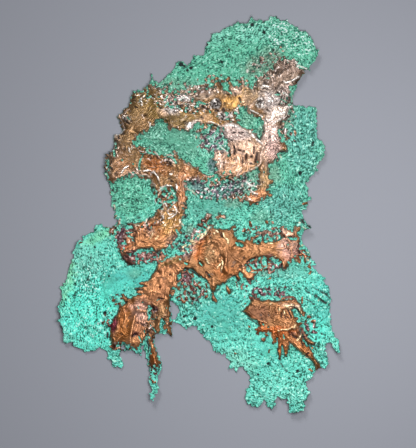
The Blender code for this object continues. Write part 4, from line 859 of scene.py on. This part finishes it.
NODULES = [
    (216, 104, 6.0, 6.0, 1.0), (223, 117, 6.0, 5.0, 0.7), (230, 116, 5.0, 5.0, 0.4),
    (197, 104, 9.0, 5.0, 0.35), (172, 109, 7.0, 5.0, 0.6), (260, 103, 5.0, 7.0, 0.7),
    (171, 161, 7.0, 6.0, 0.35), (127, 119, 5.0, 5.0, 0.45), (184, 98, 8.0, 4.0, 0.4),
    (280, 98, 10.0, 9.0, 0.3), (234, 131, 8.0, 5.0, 0.2), (150, 233, 6.0, 6.0, 0.35),
    (222, 146, 9.0, 8.0, 0.4), (263, 86, 8.0, 6.0, 0.3),
]
NODULE_HEIGHT = 0.0011


def domes(points):
    """1 on the top of a nodule and 0 beside it."""
    height = np.zeros(len(points))
    for x, y, half_length, half_width, strength in NODULES:
        away = ((points[:, 0] - x) / half_length) ** 2 + ((points[:, 1] - y) / half_width) ** 2
        height = np.maximum(height, strength * np.sqrt(np.clip(1 - away, 0, 1)))
    return height


nodules = domes(points)

# The finished surface
# All the relief above is pressed into the sheet's fine mesh, and what the finish depends on is kept on its
# corners. The rim is rounded and knobbly, and the underside keeps the sheet's own form, slightly roughened.

THREAD_HEIGHT = 0.0004
SLOT_DEPTH = 0.0007
RIM_ROUNDING = 0.5
RIM_RELIEF = 0.3
RIM_REACH = 4.5
RIM_KNOBS = 2.0
RIM_KNOB_SIZE = 4.4
UNDERSIDE_ROUGHNESS = 0.00012
UNDERSIDE_CRUST = -4.0


def bump(value, middle, width):
    """1 where value is at middle, falling softly to 0 on both sides."""
    return np.exp(-((value - middle) / width) ** 2)


def relief():
    """Height in metres that the grain, folds and marks add to the sheet's top."""
    height = (GRAIN_HEIGHT * grain + LUMP_HEIGHT * lumps - PORE_DEPTH * pores) * (1 - bare)
    height += LIP_HEIGHT * bump(depth, 1.1, 1.0) - CREVICE_DEPTH * bump(depth, -0.4, 0.6)
    height += bare * (FOLD_HEIGHT * fold * flowing - PINHOLE_DEPTH * metal_holes) + NODULE_HEIGHT * nodules
    return height + THREAD_HEIGHT * (threads + gleams) - SLOT_DEPTH * slots


def nearest_rim():
    """How far each corner is from the rim, in plan units, and which way is out there."""
    rim = np.flatnonzero(on_rim)
    tree = KDTree(len(rim))
    for row, corner in enumerate(rim):
        tree.insert((*points[corner], 0.0), row)
    tree.balance()
    found = [tree.find((x, y, 0.0)) for x, y in points]
    outward = normals[rim[[row for _, row, _ in found]], :2]
    outward /= np.maximum(np.linalg.norm(outward, axis=1), 0.001)[:, None]
    return np.array([away for _, _, away in found]), outward


def shaped(places):
    """Places of the fine mesh's corners, with the relief, the rounded rim and the rough underside."""
    result = places.copy()
    result[:, 2] += np.where(on_top, np.where(on_rim, RIM_RELIEF, 1.0), 0.0) * relief()
    near_rim = 1 - smooth(0, RIM_REACH, rim_distance)
    knobs = RIM_KNOBS * (granules(points, RIM_KNOB_SIZE, 71.3) - 0.7) * near_rim
    rounding = np.where(on_rim & (on_top | below), RIM_ROUNDING, 0.0)
    result[:, :2] += ((knobs - rounding) * UNIT)[:, None] * rim_outward
    result[:, 2] += np.where(below & ~on_rim, UNDERSIDE_ROUGHNESS * (1 + waves(points, 3.0, 53.1)), 0)
    result[:, 2] = np.clip(result[:, 2], 0.0, cad_box[1][2])
    return result


def keep(mesh, name, values):
    """Keeps a number or a colour on each corner of the mesh."""
    if values.ndim == 1:
        mesh.attributes.new(name, "FLOAT", "POINT").data.foreach_set("value", values)
        return
    colours = np.column_stack((values, np.ones(len(values))))
    mesh.attributes.new(name, "FLOAT_COLOR", "POINT").data.foreach_set("color", colours.ravel())


def finished_splash():
    """The splash as one object, with its relief and what its finish reads."""
    for corner, place in zip(sheet.verts, shaped(places)):
        corner.co = place
    for face in sheet.faces:
        face.material_index = 0
        face.smooth = True
    mesh = bpy.data.meshes.new("splash_surface")
    sheet.to_mesh(mesh)
    sheet.free()
    kept = {
        "bare_depth": np.where(on_top, depth, UNDERSIDE_CRUST), "stream": stream, "mixed": mixed,
        "upper": upper, "grain": grain, "openness": openness, "frost": frost, "pitted": pitted,
        "pores": pores, "crust_paint": crust_colour, "metal_paint": metal_colour, "fold": fold,
        "flowing": flowing, "metal_holes": metal_holes, "nodules": nodules,
        "marks": np.column_stack((slots, threads, gleams)), "rim": 1 - smooth(0.2, 1.5, rim_distance),
    }
    for name, values in kept.items():
        keep(mesh, name, values)
    splash = bpy.data.objects.new("splash_surface", mesh)
    bpy.context.collection.objects.link(splash)
    return splash


rim_distance, rim_outward = nearest_rim()
splash = finished_splash()

# Finish of crust and metal
# The crust is matt copper carbonate, with painted highlights on its grains and painted shade in its pores.
# Bare metal is glossy, with pale and dark streaks drawn out along the way it ran, partly painted sheen and
# shade. Painted shade in crevices and painted highlights on lips divide the two.

SHADED_GREEN = (70, 166, 138)
GRAIN_HIGHLIGHT = (186, 244, 224)
FROSTED_GRAIN_HIGHLIGHT = (236, 240, 244)
CREVICE_SHADE_GREEN = (22, 84, 70)
PORE_SHADE_GREEN = (14, 30, 28)
COPPER_STREAK_SHEEN = (204, 142, 98)
DULL_STREAK_SHEEN = (180, 146, 112)
SILVERY_STREAK_SHEEN = (238, 218, 206)
BROWN_SHADOW = (74, 40, 24)
GREY_SHADOW = (62, 48, 40)
PINHOLE_SHADE = (34, 30, 28)
BLISTER_DARK = (44, 46, 52)
BLISTER_PALE = (226, 220, 216)
CREVICE_SHADE_BROWN = (44, 26, 28)
COPPER_LIP_HIGHLIGHT = (208, 142, 100)
SILVERY_LIP_HIGHLIGHT = (228, 206, 194)
PALE_SPECK_GLINT = (240, 228, 226)
MAROON_SPECK = (54, 24, 32)
BLACK_SPECK = (34, 28, 32)
DARKENED_RIM = (82, 64, 52)
ROUGH_CRUST = 0.85
METAL_SHARE = 0.65
TOOTH_STRENGTH = 0.8
TOOTH_DEPTH = 0.0004


class Wire:
    """A shader socket. Sums on it add Math nodes, and node adds any other node to the same material."""

    def __init__(self, tree, socket=None):
        self.tree = tree
        self.socket = socket

    def node(self, kind, settings, inputs, output=0):
        """Adds a node with its settings and the values or wires of its sockets, and returns one output."""
        made = self.tree.nodes.new(kind)
        for name, value in settings.items():
            setattr(made, name, value)
        for name, value in inputs.items():
            if isinstance(value, Wire):
                self.tree.links.new(value.socket, made.inputs[name])
            else:
                made.inputs[name].default_value = value
        return Wire(self.tree, made.outputs[output])

    def sum(self, operation, first, second, clamp=False):
        """Adds a Math node for two values or wires."""
        return self.node("ShaderNodeMath", {"operation": operation, "use_clamp": clamp},
                         {0: first, 1: second})

    def __add__(self, other):
        return self.sum("ADD", self, other)

    def __radd__(self, other):
        return self.sum("ADD", other, self)

    def __sub__(self, other):
        return self.sum("SUBTRACT", self, other)

    def __rsub__(self, other):
        return self.sum("SUBTRACT", other, self)

    def __mul__(self, other):
        return self.sum("MULTIPLY", self, other)

    def __rmul__(self, other):
        return self.sum("MULTIPLY", other, self)

    def limited(self):
        """The value held between 0 and 1."""
        return self.sum("ADD", self, 0.0, clamp=True)

    def step(self, low, high):
        """0 at low, 1 at high, and a soft step between."""
        return self.node("ShaderNodeMapRange", {"interpolation_type": "SMOOTHSTEP"},
                         {"Value": self, "From Min": low, "From Max": high})

    def read(self, name, output="Fac"):
        """What the mesh keeps under a name."""
        return self.node("ShaderNodeAttribute", {"attribute_name": name}, {}, output)

    def noise(self, place, length, detail=2.0, roughness=0.5):
        """Soft noise of about -1 to 1 with features of a length in plan units."""
        made = self.node("ShaderNodeTexNoise", {},
                         {"Vector": place, "Scale": 1 / (length * UNIT), "Detail": detail,
                          "Roughness": roughness})
        return (made - 0.5) * 4.0

    def streaks(self, place, width, length, detail=1.0):
        """Noise of about -1 to 1, drawn out along the streams. Width and length are in plan units."""
        across = self.read("stream") * (length * UNIT / width)
        made = self.node("ShaderNodeTexNoise", {"noise_dimensions": "4D"},
                         {"Vector": place, "W": across, "Scale": 1 / (length * UNIT), "Detail": detail})
        return (made - 0.5) * 5.0

    def blend(self, share, first, second):
        """A mix of two colours. A plain colour is given as it looks, 0 to 255. The node has its share at
        socket 0, its two colours at 6 and 7 and the mix at output 2."""
        inputs = {0: share, 6: first, 7: second}
        for socket in (6, 7):
            if not isinstance(inputs[socket], Wire):
                inputs[socket] = (*painted(inputs[socket]), 1.0)
        return self.node("ShaderNodeMix", {"data_type": "RGBA"}, inputs, 2)


def crust_finish(wire, place):
    """Colour of the crust: its own tint, with painted shade in broad patches, in the crevices and in the
    pores, and painted highlights on the grains, whiter where it is frosted.
    """
    frost = wire.read("frost")
    open_share = wire.read("openness")
    speck = wire.streaks(place, 1.2, 2.2) * (0.4 + 0.6 * open_share)
    height = wire.read("grain") * 0.8 + speck * 0.95
    shade = wire.noise(place, 11, 3.0).step(-0.3, 0.9) * 0.45
    colour = wire.blend(shade, wire.read("crust_paint", "Color"), SHADED_GREEN)
    # Painted highlights on the grains, whiter where frosted.
    pale = wire.blend(frost, GRAIN_HIGHLIGHT, FROSTED_GRAIN_HIGHLIGHT)
    colour = wire.blend((height + frost * 0.25).step(0.15, 0.85) * 0.9, colour, pale)
    # Painted shade in the crevices between grains and in the pores.
    deep = (height + 0.45 - wire.read("pitted") * 0.3).step(0.1, -0.5)
    colour = wire.blend(deep * 0.95, colour, CREVICE_SHADE_GREEN)
    return wire.blend(wire.read("pores").step(0.1, 0.7), colour, PORE_SHADE_GREEN)


def metal_finish(wire, place):
    """Colour of the bare metal: its own tint, with pale and dark threads drawn out along its streams and
    folds, which are partly its own swirls and partly painted sheen and painted shade.
    """
    upper = wire.read("upper")
    flowing = wire.read("flowing")
    streak = wire.streaks(place, 1.25, 6.0) * (0.2 + 0.6 * flowing)
    # Pale is painted sheen and dark is painted shade, on the crests and troughs of the folds and along the
    # streaks.
    tone = wire.read("fold") * flowing * 0.5 + streak + wire.noise(place, 1.6, 1.0) * 0.4
    pale = wire.blend(upper, COPPER_STREAK_SHEEN, wire.blend(flowing, DULL_STREAK_SHEEN, SILVERY_STREAK_SHEEN))
    colour = wire.blend(tone.step(0.25, 1.0) * (0.3 + 0.4 * flowing), wire.read("metal_paint", "Color"), pale)
    dark = wire.blend(upper, BROWN_SHADOW, GREY_SHADOW)
    colour = wire.blend(tone.step(-0.25, -1.0) * (0.5 + 0.35 * flowing), colour, dark)
    # Painted shade in the pinholes.
    colour = wire.blend(wire.read("metal_holes").step(0.65, 1.0) * 0.6, colour, PINHOLE_SHADE)
    blister = wire.blend(wire.noise(place, 2.2, 1.0).step(-0.3, 0.3), BLISTER_DARK, BLISTER_PALE)
    return wire.blend(wire.read("nodules").step(0.15, 0.8) * 0.8, colour, blister)


def edge_finish(wire, place, colour, edge):
    """The colour with painted shade in the runs' crevices and painted highlights on their lips, and specks on
    mixed ground, the pale ones partly painted glints.
    """
    mixed = wire.read("mixed")
    upper = wire.read("upper")
    patchy = wire.noise(place, 5.0, 2.0)
    # Painted shade in the runs' crevices and painted highlights on their lips.
    crevice_shade = edge.step(-1.0, -0.4) * (1 - edge.step(-0.1, 0.4)) * patchy.step(-1.4, 0.2)
    colour = wire.blend(crevice_shade * 0.9, colour, CREVICE_SHADE_BROWN)
    lip_highlight = edge.step(0.2, 0.7) * (1 - edge.step(0.9, 1.8)) * patchy.step(0.5, -0.6)
    lip_highlight = lip_highlight * (0.4 + 0.25 * upper) * (1 - 0.6 * mixed)
    colour = wire.blend(lip_highlight, colour, wire.blend(upper, COPPER_LIP_HIGHLIGHT, SILVERY_LIP_HIGHLIGHT))
    speck = wire.streaks(place, 1.7, 2.8, 0.5)
    near = (edge + 4.0).step(0.0, 2.5) * (mixed + upper * 0.1).limited()
    # Pale specks here are partly white specks and partly painted glints.
    colour = wire.blend(speck.step(0.45, 0.85) * near * (0.3 + 0.4 * upper), colour, PALE_SPECK_GLINT)
    dark = wire.blend(upper, MAROON_SPECK, BLACK_SPECK)
    return wire.blend(speck.step(-0.05, -0.5) * near * 0.85, colour, dark)


def marked(wire, place, colour):
    """The colour with the slots laid on it as painted shade, and the threads and gleams as painted
    highlights, the last two broken here and there.
    """
    marks = wire.node("ShaderNodeSeparateColor", {}, {"Color": wire.read("marks", "Color")})
    broken = wire.noise(place, 1.7, 1.0).step(-0.9, 0.1)
    for output, (kind, strength) in enumerate(MARK_STRENGTHS.items()):
        share = Wire(wire.tree, marks.socket.node.outputs[output])
        share = share if kind == SLOT else share * broken
        tint = wire.blend(wire.read("upper"), LOWER_MARK_COLOURS[kind], UPPER_MARK_COLOURS[kind])
        colour = wire.blend(share * strength, colour, tint)
    return colour


def splash_finish():
    """Green crust and bare copper, divided along the edges of the runs."""
    material = bpy.data.materials.new("crusted_copper")
    material.use_nodes = True
    tree = material.node_tree
    shader = tree.nodes["Principled BSDF"]
    wire = Wire(tree)
    place = wire.node("ShaderNodeTexCoord", {}, {}, "Object")
    edge = wire.read("bare_depth") + wire.noise(place, 1.5, 1.0) * (0.5 + 1.0 * wire.read("mixed"))
    bare_share = edge.step(-0.15, 0.25)
    colour = wire.blend(bare_share, crust_finish(wire, place), metal_finish(wire, place))
    colour = marked(wire, place, edge_finish(wire, place, colour, edge))
    # The rim is darkened brown in patches.
    rim_darkening = wire.read("rim") * wire.noise(place, 4.0, 2.0).step(-0.6, 0.6) * 0.35
    colour = wire.blend(rim_darkening, colour, DARKENED_RIM)
    tree.links.new(colour.socket, shader.inputs["Base Color"])
    rough = ROUGH_CRUST - bare_share * (0.5 - wire.noise(place, 3.0) * 0.1)
    tree.links.new(rough.socket, shader.inputs["Roughness"])
    tree.links.new((bare_share * METAL_SHARE).socket, shader.inputs["Metallic"])
    crust_tooth = wire.noise(place, 1.8, 2.0, roughness=0.6) * (1 - bare_share)
    tooth = crust_tooth + wire.streaks(place, 1.3, 6.0) * bare_share * wire.read("flowing")
    bumpy = wire.node("ShaderNodeBump", {},
                      {"Strength": TOOTH_STRENGTH, "Distance": TOOTH_DEPTH, "Height": tooth})
    tree.links.new(bumpy.socket, shader.inputs["Normal"])
    return material


splash.data.materials.append(splash_finish())
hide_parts("copper_splash")
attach(splash, "root")

# Floor, light and camera
# The splash lies on a plain grey floor. A soft key light comes from beyond its top, a little to the left, and
# a small weak one hangs low over its right side. The camera looks straight down on it from far off.

FLOOR_COLOUR = (137, 139, 147)
FLOOR_HALF_SIZE = 3.0
KEY_PLACE = (-1.5, 4.3, 3.1)
KEY_SIZE = 1.5
KEY_POWER = 175
LOW_PLACE = (0.12, -0.02, 0.38)
LOW_SIZE = 0.25
LOW_POWER = 1.7
SURROUND_COLOUR = (0.9, 0.93, 1.0, 1.0)
SURROUND_STRENGTH = 0.16
FRAME_PIXELS = (416, 448)
CAMERA_DISTANCE = 1.8
SENSOR = 36.0


def add_floor():
    """A plain floor that the splash lies on."""
    mesh = bmesh.new()
    bmesh.ops.create_grid(mesh, x_segments=1, y_segments=1, size=FLOOR_HALF_SIZE)
    data = bpy.data.meshes.new("floor")
    mesh.to_mesh(data)
    mesh.free()
    floor = bpy.data.objects.new("floor", data)
    bpy.context.collection.objects.link(floor)
    material = bpy.data.materials.new("floor_paint")
    material.use_nodes = True
    shader = material.node_tree.nodes["Principled BSDF"]
    shader.inputs["Base Color"].default_value = (*painted(FLOOR_COLOUR), 1.0)
    shader.inputs["Roughness"].default_value = 0.95
    shader.inputs["Specular IOR Level"].default_value = 0.1
    data.materials.append(material)


def add_light(name, place, size, power):
    """A soft square light that faces the splash."""
    lamp = bpy.data.lights.new(name, "AREA")
    lamp.size = size
    lamp.energy = power
    light = bpy.data.objects.new(name, lamp)
    light.location = place
    light.rotation_mode = "QUATERNION"
    light.rotation_quaternion = (-Vector(place)).to_track_quat("-Z", "Y")
    bpy.context.collection.objects.link(light)


def add_camera():
    """A long lens straight over the frame's middle, which is a little right of and below the splash's."""
    lens = bpy.data.cameras.new("camera")
    lens.sensor_width = SENSOR
    lens.lens = SENSOR * CAMERA_DISTANCE / (FRAME_PIXELS[1] * UNIT)
    camera = bpy.data.objects.new("camera", lens)
    across = (FRAME_PIXELS[0] / 2 - PLAN_CENTRE[0]) * UNIT
    along = (PLAN_CENTRE[1] - FRAME_PIXELS[1] / 2) * UNIT
    camera.location = (across, along, CAMERA_DISTANCE)
    bpy.context.collection.objects.link(camera)
    bpy.context.scene.camera = camera


def add_world():
    """An even grey surround."""
    world = bpy.data.worlds.new("surround")
    world.use_nodes = True
    background = world.node_tree.nodes["Background"]
    background.inputs["Color"].default_value = SURROUND_COLOUR
    background.inputs["Strength"].default_value = SURROUND_STRENGTH
    bpy.context.scene.world = world


add_floor()
add_light("key_light", KEY_PLACE, KEY_SIZE, KEY_POWER)
add_light("low_light", LOW_PLACE, LOW_SIZE, LOW_POWER)
add_camera()
add_world()
bpy.context.scene.view_settings.view_transform = "Standard"
